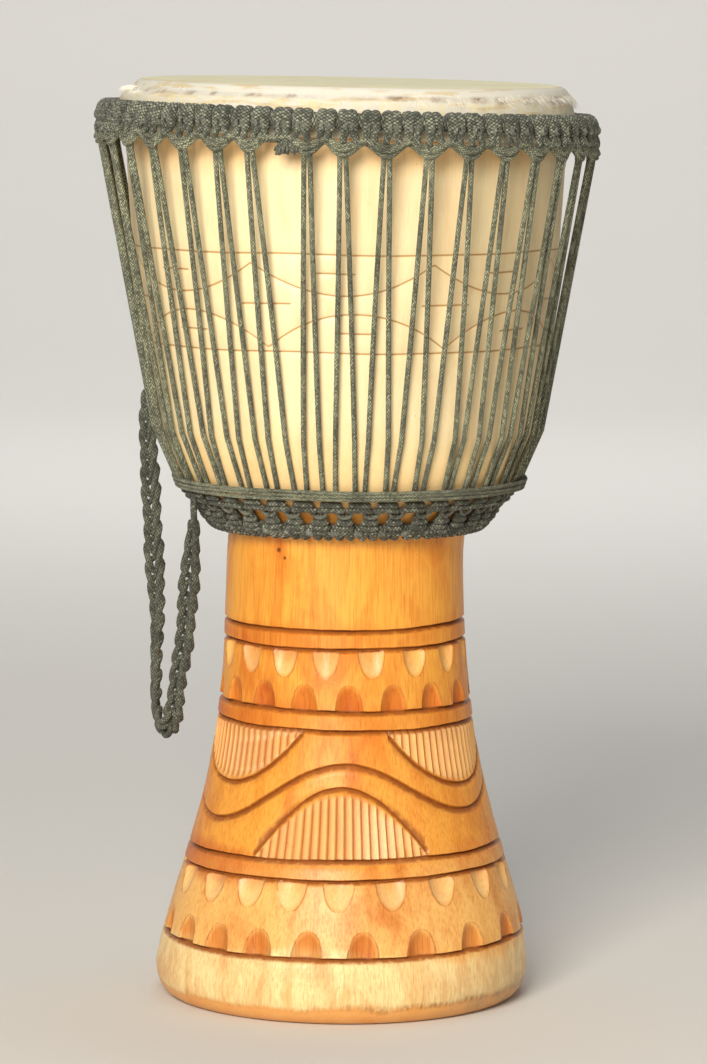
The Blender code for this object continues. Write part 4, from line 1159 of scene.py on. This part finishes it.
# %% Skin
def skin_finish():
    """Rawhide: matt, cream on the face and white on the collar, mottled brown where it is bare."""
    finish, tree, shader = new_finish("goat_rawhide", Roughness=0.62, Specular_IOR_Level=0.35)
    place = add_node(tree, "TexCoord", output="Object")
    down = add_node(tree, "Attribute", attribute_name="down", output="Fac")
    clouds = add_node(tree, "TexNoise", {"Vector": place, "Scale": 22.0, "Detail": 4.0})
    face = add_node(tree, "MixRGB", {0: clouds, 1: linear("D9D3AC"), 2: linear("E9E5C6")})
    veins = add_node(tree, "TexNoise", {"Vector": place, "Scale": 7.0, "Detail": 6.0,
                                        "Distortion": 1.6})
    veins = add_node(tree, "MapRange", {"Value": veins, "From Min": 0.56, "From Max": 0.66,
                                        "To Max": 0.35})
    face = add_node(tree, "MixRGB", {0: veins, 1: face, 2: linear("C9B98A")})
    collar_share = add_node(tree, "MapRange", {"Value": down, "From Min": 0.0010,
                                               "From Max": 0.0022})
    colour = add_node(tree, "MixRGB", {0: collar_share, 1: face, 2: linear("D6D3C6")})
    # Tan lines across the collar are painted shade in its creases
    flat_place = add_node(tree, "Mapping", {"Vector": place, "Scale": (1.0, 1.0, 9.0)})
    lines = add_node(tree, "TexNoise", {"Vector": flat_place, "Scale": 38.0, "Detail": 4.0})
    lines = add_node(tree, "MapRange", {"Value": lines, "From Min": 0.52, "From Max": 0.62,
                                        "To Max": 0.7})
    lines = add_node(tree, "Math", {0: lines, 1: collar_share}, operation='MULTIPLY')
    colour = add_node(tree, "MixRGB", {0: lines, 1: colour, 2: linear("C9B284")})
    edge = add_node(tree, "Math", {0: down, 1: 0.0012}, operation='SUBTRACT')
    edge = add_node(tree, "Math", {0: edge}, operation='ABSOLUTE')
    edge = add_node(tree, "MapRange", {"Value": edge, "From Min": 0.0008, "From Max": 0.0001,
                                       "To Max": 0.55})
    colour = add_node(tree, "MixRGB", {0: edge, 1: colour, 2: linear("B9905A")})

    # Below the patches the rawhide is yellower, and streaked down the collar
    yellow = add_node(tree, "MapRange", {"Value": down, "From Min": 0.0125, "From Max": 0.0170,
                                         "To Max": 0.55})
    upright = add_node(tree, "Mapping", {"Vector": place, "Scale": (1.0, 1.0, 0.12)})
    stripes = add_node(tree, "TexNoise", {"Vector": upright, "Scale": 260.0, "Detail": 3.0})
    stripes = add_node(tree, "MapRange", {"Value": stripes, "From Min": 0.40, "From Max": 0.62})
    yellow = add_node(tree, "Math", {0: yellow, 1: stripes}, operation='MULTIPLY')
    colour = add_node(tree, "MixRGB", {0: yellow, 1: colour, 2: linear("E5D5A0")})
    bare = add_node(tree, "Attribute", attribute_name="bare", output="Fac")
    rough = add_node(tree, "TexNoise", {"Vector": place, "Scale": 260.0, "Detail": 4.0})
    rough = add_node(tree, "MapRange", {"Value": rough, "From Min": 0.35, "From Max": 0.55,
                                        "To Min": 0.35, "To Max": 1.0})
    bare = add_node(tree, "Math", {0: bare, 1: rough}, operation='MULTIPLY', use_clamp=True)
    colour = add_node(tree, "MixRGB", {0: bare, 1: colour, 2: linear("7C5C40")})
    tree.links.new(colour, shader.inputs["Base Color"])
    hide = add_node(tree, "TexNoise", {"Vector": place, "Scale": 700.0, "Detail": 3.0})
    normal = add_node(tree, "Bump", {"Height": hide, "Distance": 0.0003, "Strength": 0.35})
    tree.links.new(normal, shader.inputs["Normal"])
    return finish


UPPER_EDGE, LOWER_EDGE = 4, 19
skin_columns = full_turn(360)


def crown_share(height):
    """How far the skin follows the crown and not the head: 0 at the edge, 1 eight mm below."""
    return np.clip((0.6019 - height) / 0.0080, 0.0, 1.0)


skin_profile = np.array((
    (0.0600, 0.60640), (0.1000, 0.60645), (0.1250, 0.60670), (0.1335, 0.60695),
    (0.1365, 0.60665), (0.1388, 0.60605), (0.1405, 0.60520), (0.1419, 0.60390),
    (0.1432, 0.60200), (0.1449, 0.60000), (0.1463, 0.59810), (0.1475, 0.59620),
    (0.1486, 0.59420), (0.1494, 0.59180), (0.1499, 0.58900), (0.1501, 0.58450),
    (0.1500, 0.57900), (0.1499, 0.57500), (0.1494, 0.57270), (0.1478, 0.57200),
    (0.1464, 0.57270), (0.1462, 0.57700), (0.1461, 0.58600), (0.1455, 0.59150),
    (0.1420, 0.59600), (0.1390, 0.60050), (0.1375, 0.60300), (0.1350, 0.60470),
    (0.1300, 0.60490), (0.0900, 0.60490), (0.0600, 0.60490)))
along_skin = walked_along(skin_profile)
down = along_skin - along_skin[UPPER_EDGE]
shown = (np.arange(len(down)) < LOWER_EDGE)[:, None]
turn = np.radians(skin_columns)
creases = (np.sin(67 * turn + 2 * np.sin(5 * turn)) * (0.6 + 0.4 * np.sin(11 * turn + 1))
           + 0.7 * np.sin(29 * turn + 3 * np.sin(3 * turn)))
crease_growth = np.clip((down - 0.004) / 0.012, 0.0, 1.0)[:, None] * shown
skin_radius = skin_profile[:, :1] + 0.00022 * creases * crease_growth
skin_points = hauled(round_axis(skin_radius, skin_columns, skin_profile[:, 1:]), 1.0,
                     crown_share(skin_profile[:, 1:]))
body, body_faces, _ = woven(skin_points[None])
poles = hauled(np.array(((0.0, 0.0, 0.60640), (0.0, 0.0, 0.60490))), 1.0, 0.0)
j = np.arange(len(skin_columns))
last = len(body) - len(j)
no_corner = np.full(len(j), -1)
top_fan = np.stack((len(body) + 0 * j, j, (j + 1) % len(j), no_corner), axis=1)
under_fan = np.stack((len(body) + 1 + 0 * j, last + (j + 1) % len(j), last + j, no_corner),
                     axis=1)
skin_faces = np.concatenate((body_faces[:, [0, 3, 2, 1]], top_fan, under_fan))
skin_surface = (np.concatenate((body, poles)), skin_faces,
                np.zeros((len(skin_faces), 4, 2)))

# Patches that were rubbed bare: few and thin on the left, wide and close on the right
chance = np.random.default_rng(21)
patch_angles = np.cumsum(chance.uniform(6.5, 13.5, 46))
patch_angles = patch_angles[patch_angles < 352.0]
patch_side = 0.5 + 0.5 * np.sin(np.radians(patch_angles))
patch_widths = chance.uniform(1.2, 2.6, len(patch_angles)) * (0.7 + 0.9 * patch_side)
patch_depths = chance.uniform(0.0112, 0.0132, len(patch_angles))
turns = signed(skin_columns[:, None] - patch_angles)
bare = (np.exp(-((turns / patch_widths) ** 4)[None]
               - ((down[:, None, None] - patch_depths) / 0.0024) ** 4)
        * (0.55 + 0.5 * patch_side)).max(axis=2) * shown
rubbed_line = 0.34 + 0.16 * np.sin(13 * turn + 2 * np.sin(4 * turn)) + 0.12 * np.sin(31 * turn)
bare = np.maximum(bare, np.exp(-((down[:, None] - 0.0124) / 0.0011) ** 2) * rubbed_line * shown)
skin_marks = {"down": np.concatenate((np.repeat(down, len(skin_columns)), (-0.14, 0.1))),
              "bare": np.concatenate((bare.ravel(), (0.0, 0.0)))}
add_piece("goatskin_with_collar", skin_surface, skin_finish(), ["goatskin_head"],
          attributes=skin_marks)


# %% [markdown]
# ## Hair on the collar
#
# The hair is white, three to six millimetres long, combed down and outwards. Each hair is a
# strip of three quads along a bent path, a sixth of a millimetre wide. Over the bare patches
# it is laid straighter. Tufts of longer hair, twice as wide, stick out on both sides.

# %% Hair
HAIRY = slice(UPPER_EDGE, 16)
HAIR_TAPER = np.array((1.0, 0.9, 0.7, 0.15))[None, :, None]
HAIR_DROP = np.array((0.0, 0.0, -0.18))


def hairs(angles, places, lengths, lifts, leans, width=0.00016):
    """Strips along bent paths: p = root + length * (t * way + t * t * drop).

    Places are measured down the collar from its upper edge. A lift of 0 lays a hair along the
    skin, and more turns it outwards and up; a lean turns it sideways.
    """
    radius, height = [np.interp(places, down[HAIRY], skin_profile[HAIRY, k]) for k in (0, 1)]
    root = round_axis(radius - 0.0003, angles, height)
    out = unit(root * (1, 1, 0))
    beside = np.cross(out, (0.0, 0.0, 1.0))
    downward = unit(out * 0.60 + np.array((0, 0, -0.80)))
    upward = unit(out * 0.80 + np.array((0, 0, 0.60)))
    way = unit(downward + lifts[:, None] * upward + leans[:, None] * beside)
    t = np.linspace(0.0, 1.0, 4)[None, :, None]
    path = root[:, None] + lengths[:, None, None] * (t * way[:, None] + t * t * HAIR_DROP)
    half = 0.5 * width * HAIR_TAPER * unit(np.cross(way, out))[:, None]
    points = np.stack((path - half, path + half), axis=2)
    return woven(hauled(points, 1.0, crown_share(height)[:, None, None]), around=False)


chance = np.random.default_rng(5)
many = 6400
hair_angles = chance.uniform(-180, 180, many)
near = np.abs(signed(hair_angles[:, None] - patch_angles))
over_patch = (near / patch_widths).min(axis=1) < 1.0
coat = hairs(hair_angles, np.where(over_patch, chance.uniform(0.0085, 0.0108, many),
                                   chance.uniform(0.0050, 0.0165, many)),
             np.where(over_patch, chance.uniform(0.0030, 0.0050, many),
                      chance.uniform(0.0026, 0.0060, many)),
             chance.uniform(0.02, 0.30, many),
             np.where(over_patch, chance.normal(0.0, 0.22, many), chance.normal(0.0, 0.45, many)))
tufts = [hairs(chance.normal(angle, spread, number), chance.normal(place, 0.0012, number),
               chance.uniform(0.5, 1.0, number) * length, chance.uniform(low, high, number),
               chance.normal(lean, 0.40, number), 0.00028)
         for angle, spread, place, length, low, high, lean, number in (
             (-84.0, 5.0, 0.0105, 0.0095, 0.4, 1.8, 0.2, 70),
             (-68.0, 4.4, 0.0120, 0.0060, 0.2, 1.0, 0.2, 80),
             (88.0, 4.0, 0.0080, 0.0130, -0.1, 0.3, -0.2, 120),
             (74.0, 5.5, 0.0105, 0.0080, 0.0, 0.5, -0.2, 150),
             (54.0, 6.0, 0.0110, 0.0055, 0.1, 0.5, 0.1, 190))]
hair_finish, hair_tree, hair_shader = new_finish("goat_hair", Roughness=0.5, Sheen_Weight=0.2)
hair_place = add_node(hair_tree, "TexCoord", output="Object")
hair_tone = add_node(hair_tree, "TexNoise", {"Vector": hair_place, "Scale": 60.0, "Detail": 2.0})
hair_colour = add_node(hair_tree, "MixRGB", {0: hair_tone, 1: linear("E6DFCB"),
                                             2: linear("FAF8F0")})
hair_tree.links.new(hair_colour, hair_shader.inputs["Base Color"])
add_piece("collar_hair", joined([coat] + tufts), hair_finish)


# %% [markdown]
# ## The crown ring
#
# The upper ring is a steel hoop that has been covered with one rope in cow hitches, one over
# each pair of verticals and one between two. Each hitch shows two braided strands that come
# over the top side by side, a loop lying across them at the lower front, which hands and
# tightening have rubbed smooth and grey, and two legs that leave it downwards.
#
# A path is drawn once through a few stations as across, radius and height, and moved to every
# hitch at once.

# %% Where the rope pairs and hitches are
PAIRS = 37
FIRST_PAIR = -10.5
TIE_GAP_PUSH = 1.75
CROWN_HITCH_TURN = 1.1
CROWN_RADIUS = 0.15805
CROWN_HEIGHT = 0.5834

pair_step = 360.0 / PAIRS
pair_angles = FIRST_PAIR + pair_step * np.arange(PAIRS)
pair_tops = pair_angles.copy()
pair_tops[0] += TIE_GAP_PUSH
pair_tops[-1] -= TIE_GAP_PUSH
crown_hitches = FIRST_PAIR + CROWN_HITCH_TURN + pair_step / 2 * np.arange(2 * PAIRS)
over_pair = np.arange(2 * PAIRS) % 2 == 0
print("hitches on the crown:", len(crown_hitches), "and on the lower ring:", PAIRS)


def bent(stations, count):
    """A path through stations, each a few numbers, read evenly along their order."""
    stations = np.array(stations, dtype=float)
    order = np.arange(len(stations))
    lines = [smooth_line(np.column_stack((order, values))) for values in stations.T]
    reads = np.linspace(0, len(stations) - 1, count)
    return np.stack([line(reads) for line in lines], axis=-1)


def placed(angles, path, scale, tilt):
    """Move a path (across, radius, height) to each angle. Across is measured round the drum."""
    radius = path[None, :, 1]
    across = path[None, :, 0] * scale[:, None] + tilt[:, None] * (path[None, :, 2] - CROWN_HEIGHT)
    return round_axis(radius, angles[:, None] + np.degrees(across / radius), path[None, :, 2])


# %% Crown
chance = np.random.default_rng(11)
number = len(crown_hitches)
from_front = signed(crown_hitches)
narrow = 1.0 - 0.20 * np.clip((from_front - 22.0) / 20.0, 0, 1) + chance.normal(0.0, 0.03, number)
oblique = 0.55 * np.clip((-from_front - 35.0) / 20.0, 0, 1) + chance.normal(0.0, 0.05, number)
jitter = chance.normal(0.0, 0.22, number)
core = round_axis(CROWN_RADIUS, full_turn(160), CROWN_HEIGHT)
crown_parts = [(strands(hauled(core[None]), 0.0052, sides=10, closed=True), 0.0)]


def add_crown_strands(path, radius, wear, sides=8, which=slice(None), flat=1.0, offset=0.0):
    """One strand at every hitch, tilted with the crown, with its wear from 0 to 1."""
    angles = (crown_hitches + jitter)[which]
    points = hauled(placed(angles, path, narrow[which], oblique[which]))
    surface = strands(points, radius, sides=sides, lead=sideways(crown_hitches[which]),
                      flat=flat, offset=offset + 0.0173 * np.arange(len(angles)))
    crown_parts.append((surface, wear))


for side in (-1, 1):
    over = bent(((side * 0.0022, 0.1548, 0.5796), (side * 0.0024, 0.1541, 0.5845),
                 (side * 0.0025, 0.1560, 0.5878), (side * 0.0025, 0.1590, 0.5886),
                 (side * 0.0025, 0.1617, 0.5871), (side * 0.0025, 0.1632, 0.5838),
                 (side * 0.0025, 0.1636, 0.5805), (side * 0.0025, 0.1632, 0.5778),
                 (side * 0.0022, 0.1612, 0.5761)), 14)
    thick = np.interp(np.linspace(0, 1, 14), (0.0, 0.1, 0.5, 0.8, 0.93, 1.0),
                      (0.7, 1.0, 1.0, 1.05, 1.0, 0.65))
    add_crown_strands(over, 0.0024 * thick, 0.0, sides=11, flat=1.42, offset=0.005 * side)
rubbed = from_front > -46.0
bulge = bent(((-0.0040, 0.1622, 0.5800), (-0.0024, 0.1634, 0.5801), (0.0, 0.1638, 0.5802),
              (0.0024, 0.1634, 0.5801), (0.0040, 0.1622, 0.5800)), 8)
add_crown_strands(bulge, 0.0034 * np.array((0.35, 0.75, 0.95, 1.02, 1.02, 0.95, 0.75, 0.35)), 0.9,
                  sides=10, which=rubbed)
slanted = bent(((-0.0066, 0.1610, 0.5835), (-0.0030, 0.1640, 0.5822), (0.0012, 0.1648, 0.5802),
                (0.0052, 0.1638, 0.5782), (0.0080, 0.1612, 0.5772)), 9)
add_crown_strands(slanted, 0.0021, 0.25, which=~rubbed, offset=0.2)
for side in (-1, 1):
    for spread, which in ((0.0041, over_pair), (0.0025, ~over_pair)):
        leg = bent(((side * 0.0018, 0.1612, 0.5785), (side * 0.0024, 0.1634, 0.5755),
                    (side * spread, 0.1645, 0.5724), (side * spread, 0.1642, 0.5698)), 7)
        add_crown_strands(leg, 0.00225, 0.0, which=which, offset=0.1)
add_rope("crown_hitches", crown_parts, hitch_finish, "crown_ring")


# %% [markdown]
# ## The cradle and the lacing
#
# Under the crown a rope is laid in small sags, one for each pair of verticals. Three strands
# lie over each other in a sag and slip behind one another at the humps between two. Their
# height follows a cosine from hump to sag, and is flat over the gap where the rope was tied.

# %% Cradle
CRADLE_RADIUS = 0.1645
HUMP_HEIGHT = 0.5712
TIE_GAP_SIDE = 3.9

following = np.append(pair_tops[1:], pair_tops[0] + 360.0)
span = following - pair_tops
rise = np.where(span > pair_step + TIE_GAP_PUSH, TIE_GAP_SIDE, span / 2)
steps = np.linspace(0.0, 1.0, 8)[:-1]
falls = pair_tops[:, None] + rise[:, None] * steps
climbs = following[:, None] - rise[:, None] * (1.0 - steps)
cradle_angles = np.concatenate((falls, climbs), axis=1).ravel()
share = np.concatenate((1 + np.cos(np.pi * steps), 1 - np.cos(np.pi * steps))) / 2
share = np.tile(share, PAIRS) ** 0.85
cradle_parts = []
for sag, out_hump, out_sag, thick in ((0.0040, 0.0006, -0.0004, 0.00165),
                                      (0.0071, -0.0010, 0.0010, 0.00170),
                                      (0.0103, -0.0026, -0.0002, 0.00170)):
    height = (HUMP_HEIGHT + 0.0014 - sag * (0.22 + 0.78 * share)
              + wander(cradle_angles, 1000 * sag, 0.0005))
    radius = CRADLE_RADIUS + out_hump + (out_sag - out_hump) * share
    loop = hauled(round_axis(radius, cradle_angles, height))
    cradle_parts.append((strands(loop[None], thick, closed=True), 0.08))
add_rope("cradle_strands", cradle_parts, lacing_finish, "cradle_rope")

# %% Lacing
def tied_pair(points, radius):
    """Two strands side by side along the points, where an end of the strap is tied in."""
    apart = np.array(((0.0, 0.0022, 0.0), (0.0, -0.0022, 0.0)))
    return strands(np.array(points) + apart[:, None], radius)


LACE_TOP = (0.1620, 0.5598)
LACE_TURN = (0.1288, 0.3796)
LACE_END = (0.1128, 0.3425)
chance = np.random.default_rng(3)
lace_sides = np.tile((-1.0, 1.0), PAIRS)
top_angles = np.repeat(pair_tops, 2) + lace_sides * math.degrees(0.0019 / LACE_TOP[0])
low_angles = np.repeat(pair_angles, 2) + lace_sides * (pair_step / 2
                                                      - math.degrees(0.0030 / LACE_END[0]))
low_angles = low_angles + chance.normal(0.0, 0.30, len(low_angles))
lace_heights = np.array((0.5665, 0.5630, 0.5598, 0.535, 0.500, 0.465, 0.430, 0.400, 0.3860,
                         0.3796, 0.3730, 0.3580, 0.3425))
lace_radii = np.interp(lace_heights, (LACE_END[1], LACE_TURN[1], LACE_TOP[1], 0.5665),
                       (LACE_END[0], LACE_TURN[0], LACE_TOP[0], 0.1622))
lace_share = np.clip((LACE_TOP[1] - lace_heights) / (LACE_TOP[1] - LACE_END[1]), 0, 1)
angles = top_angles[:, None] + (low_angles - top_angles)[:, None] * lace_share
bow = np.sin(np.pi * lace_share) * chance.normal(0.0, 0.18, len(angles))[:, None]
lace = round_axis(lace_radii, angles + bow, lace_heights)
lace = hauled(lace, 1.0 - lace_share, 1.0)
lace_surface = strands(lace, ROPE_DIAMETER / 2, sides=10, offset=0.0137 * np.arange(len(lace)))
# Where the strap's upper end is tied to the lacing, two more strands run up behind it
ties = tied_pair(((-0.1340, 0.0425, 0.3930), (-0.1335, 0.0432, 0.4030),
                  (-0.1328, 0.0440, 0.4130), (-0.1318, 0.0450, 0.4230),
                  (-0.1300, 0.0460, 0.4300)), 0.0021)
add_piece("lacing_rope", joined([lace_surface, ties]), lacing_finish,
          ["tension_rope"])

# %% End knot
KNOT_ANGLE = -13.1
KNOT_RADIUS = 0.1638
KNOT_HEIGHT = 0.5702
FAN_HALF = 0.0078
chance = np.random.default_rng(8)
number = 18
reach = chance.uniform(0.0075, 0.0110, number)
fan = np.linspace(-FAN_HALF, FAN_HALF, number) + chance.normal(0, 0.0005, number)
depth = chance.uniform(-0.0022, 0.0022, number)
t = np.linspace(0.0, 1.0, 5)
across = fan[:, None] * (0.42 + 0.58 * t)
height = KNOT_HEIGHT - reach[:, None] * t + 0.0016 * np.abs(fan[:, None] / FAN_HALF) * t
radius = KNOT_RADIUS + depth[:, None] * t
ends = hauled(round_axis(radius, KNOT_ANGLE + np.degrees(across / 0.164), height))
knot_surface = strands(ends, 0.0012 * np.array((1.0, 1.05, 1.0, 0.95, 0.6)), sides=6,
                       offset=0.011 * np.arange(number))
add_piece("cut_rope_ends", knot_surface, shaded_braid_finish, ["end_knot"])


# %% [markdown]
# ## The lower ring
#
# Under the bowl a second hoop is covered with hitches. The lacing passes behind two turns of
# rope and turns round there, between two pairs, in a cushion of two short strands. Under each
# pair is a fat hitch round the hoop, with a thin slack strand above it, and the hoop's smooth
# covering shows between two hitches. All of it lies on the sloping underside of the bowl, so
# the paths here are given as across, the height of the wood and the distance off the wood.

# %% Lower ring
def on_bowl(angles, path):
    """Move a path (across, height, distance off the wood) to each angle on the bowl."""
    angles = np.asarray(angles)[:, None]
    across, height, off = path[None, :, 0], path[None, :, 1], path[None, :, 2]
    slope = (outside(height + 0.001) - outside(height - 0.001)) / 0.002
    size = np.sqrt(1 + slope ** 2)
    radius = outside(height) + off / size
    return round_axis(radius, angles + np.degrees(across / radius), height - off * slope / size)


WRAP_RINGS = ((0.1151, 0.3410, 1.0), (0.1160, 0.3434, 2.0), (0.1169, 0.3458, 4.0))
WRAP_SHIFT = (0.0010, 0.0, 0.0)
wrap_angles = full_turn(240)
wraps = []
for radius, height, seed in WRAP_RINGS:
    ring = round_axis(radius + wander(wrap_angles, 3 * seed, 0.0002), wrap_angles,
                      height + wander(wrap_angles, seed, 0.0005)) + WRAP_SHIFT
    wraps.append((strands(ring[None], 0.0013, sides=9, closed=True), 0.05))
add_rope("wrapped_turns", wraps, lacing_finish, "bottom_wraps")

chance = np.random.default_rng(14)
hitch_angles = pair_angles + chance.normal(0.0, 0.30, PAIRS)
cushion_angles = pair_angles + pair_step / 2
upright = np.array((0.0, 0.0, 1.0))
ARCH_SINK = 0.0012


def lower_row(angles, stations, count, radius, wear, lead=upright, flat=1.0, offset=0.0):
    """One strand at each angle, on the underside of the bowl, with its wear."""
    lead = sideways(angles) if lead is None else lead
    surface = strands(on_bowl(angles, bent(stations, count)), radius, lead=lead, flat=flat,
                      offset=offset + 0.0191 * np.arange(len(angles)))
    return surface, wear


def arched(half, height, off, drop=0.0):
    """Stations of a strand across a hitch: it drops and sinks to the wood at both ends."""
    return [(across * half, height - fall * drop, off - sunk * ARCH_SINK)
            for across, fall, sunk in ((-1.0, 1.0, 1.0), (-0.7, 0.35, 0.3), (0.0, 0.0, 0.0),
                                       (0.7, 0.35, 0.3), (1.0, 1.0, 1.0))]


# The strap's lower end is tied in above the ring, behind the wraps
ties = tied_pair(((-0.1009, -0.0340, 0.3150), (-0.1012, -0.0342, 0.3230),
                  (-0.1015, -0.0345, 0.3300), (-0.1010, -0.0343, 0.3370),
                  (-0.0995, -0.0338, 0.3420)), 0.0022)
loops = [
    lower_row(cushion_angles, arched(0.0060, 0.3392, 0.0030, 0.0010), 9, 0.0020, 0.05),
    lower_row(cushion_angles, arched(0.0076, 0.3362, 0.0034, 0.0016), 9, 0.0021, 0.05, offset=0.3),
    lower_row(hitch_angles, ((-0.0058, 0.3352, 0.0022), (-0.0040, 0.3325, 0.0036),
                             (0.0, 0.3312, 0.0042), (0.0040, 0.3325, 0.0036),
                             (0.0058, 0.3352, 0.0022)), 10, 0.0012, 1.0),
    *(lower_row(hitch_angles, ((side * 0.0022, 0.3320, 0.0020), (side * 0.0024, 0.3285, 0.0030),
                               (side * 0.0024, 0.3255, 0.0040)), 4, 0.0022, 0.0, None)
      for side in (-1, 1)),
    (ties, 0.2),
]
add_rope("lacing_loops", loops, shaded_braid_finish, "bottom_loops")

hoop = on_bowl(full_turn(150), np.array(((0.0, 0.3225, 0.0036),)))
taper = np.array((0.55, 0.9, 1.0, 1.05, 1.05, 1.0, 0.9, 0.55))
knots = [
    (strands(hoop.reshape(1, -1, 3), 0.0034, closed=True), 0.0),
    lower_row(hitch_angles, arched(0.0054, 0.3284, 0.0052), 8, 0.0019 * taper, 0.12),
    lower_row(hitch_angles, arched(0.0058, 0.3256, 0.0064), 8, 0.0020 * taper, 0.12, offset=0.3),
    lower_row(hitch_angles, arched(0.0056, 0.3228, 0.0066), 8, 0.0019 * taper, 0.1, offset=0.5),
    *(lower_row(hitch_angles, ((side * 0.0026, 0.3245, 0.0036), (side * 0.0032, 0.3215, 0.0060),
                               (side * 0.0035, 0.3187, 0.0056), (side * 0.0032, 0.3168, 0.0028)),
                7, 0.0030, 0.0, None, flat=1.05) for side in (-1, 1)),
    lower_row(cushion_angles, ((-0.0030, 0.3212, 0.0034), (0.0, 0.3215, 0.0050),
                               (0.0030, 0.3212, 0.0034)), 6,
              0.0033 * np.array((0.5, 0.9, 1.05, 1.05, 0.9, 0.5)), 1.0),
]
add_rope("lower_hitches", knots, shaded_braid_finish, "bottom_knots")


# %% [markdown]
# ## Floor and light
#
# A plain pale floor that sweeps up far behind the drum, so that there is no horizon, and four
# soft lamps: a broad one from the front, left and above, which gives the bowl its bright middle
# and the stem its darker right side, a weak one from the right, one over the top for the skin
# and one for the sweep.

# %% Floor
sweep = np.array(((0.3, 0.0), (1.0, 0.0), (3.0, 0.0), (5.0, 0.0), (5.6, 0.06), (6.1, 0.22),
                  (6.5, 0.48), (6.8, 0.82), (7.0, 1.25), (7.1, 1.8), (7.1, 3.5)))
FLOOR_COLUMNS = 96
floor_points = round_axis(sweep[:, :1], full_turn(FLOOR_COLUMNS), sweep[:, 1:] - 0.0002)
points, faces, _ = woven(floor_points[::-1][None])
floor_mesh = bpy.data.meshes.new("floor")
inner_ring = len(points) - FLOOR_COLUMNS + np.arange(FLOOR_COLUMNS)
floor_mesh.from_pydata(points.tolist(), [], faces.tolist() + [inner_ring.tolist()])
floor_paint, _, _ = new_finish("matt_floor_paint", Roughness=0.9, Specular_IOR_Level=0.2,
                               Base_Color=linear("DEDCD7"))
floor_mesh.materials.append(floor_paint)
floor_mesh.shade_smooth()
floor = bpy.data.objects.new("floor", floor_mesh)
bpy.context.scene.collection.objects.link(floor)
print("floor sweeps up to", sweep[-1, 1], "m")


# %% Lamps
def add_lamp(name, place, aim, size, power, tint):
    """A square area lamp at a place, turned so that it shines on the aim."""
    lamp_data = bpy.data.lights.new(name, 'AREA')
    lamp_data.shape = 'SQUARE'
    lamp_data.size = size
    lamp_data.energy = power
    lamp_data.color = linear(tint)[:3]
    lamp = bpy.data.objects.new(name, lamp_data)
    away = Matrix.Translation(place).translation - Matrix.Translation(aim).translation
    facing = away.to_track_quat('Z', 'Y').to_matrix().to_4x4()
    lamp.matrix_world = Matrix.Translation(place) @ facing
    bpy.context.scene.collection.objects.link(lamp)


add_lamp("key_lamp", (-0.75, -2.85, 1.60), (0.0, 0.0, 0.30), 1.3, 120.0, "FFF8EC")
add_lamp("fill_lamp", (2.4, -1.8, 0.9), (0.0, 0.0, 0.30), 1.6, 8.0, "FFEBD0")
add_lamp("top_lamp", (0.2, 0.6, 2.3), (0.0, 0.0, 0.50), 1.2, 11.0, "FFFFFF")
add_lamp("sweep_lamp", (0.0, 3.4, 3.4), (0.0, 6.4, 0.3), 3.0, 112.0, "FFFFFF")
world = bpy.data.worlds.new("studio")
world.use_nodes = True
background = world.node_tree.nodes["Background"]
background.inputs["Color"].default_value = linear("E8E9EC")
background.inputs["Strength"].default_value = 0.25
bpy.context.scene.world = world
bpy.context.scene.view_settings.view_transform = 'Standard'
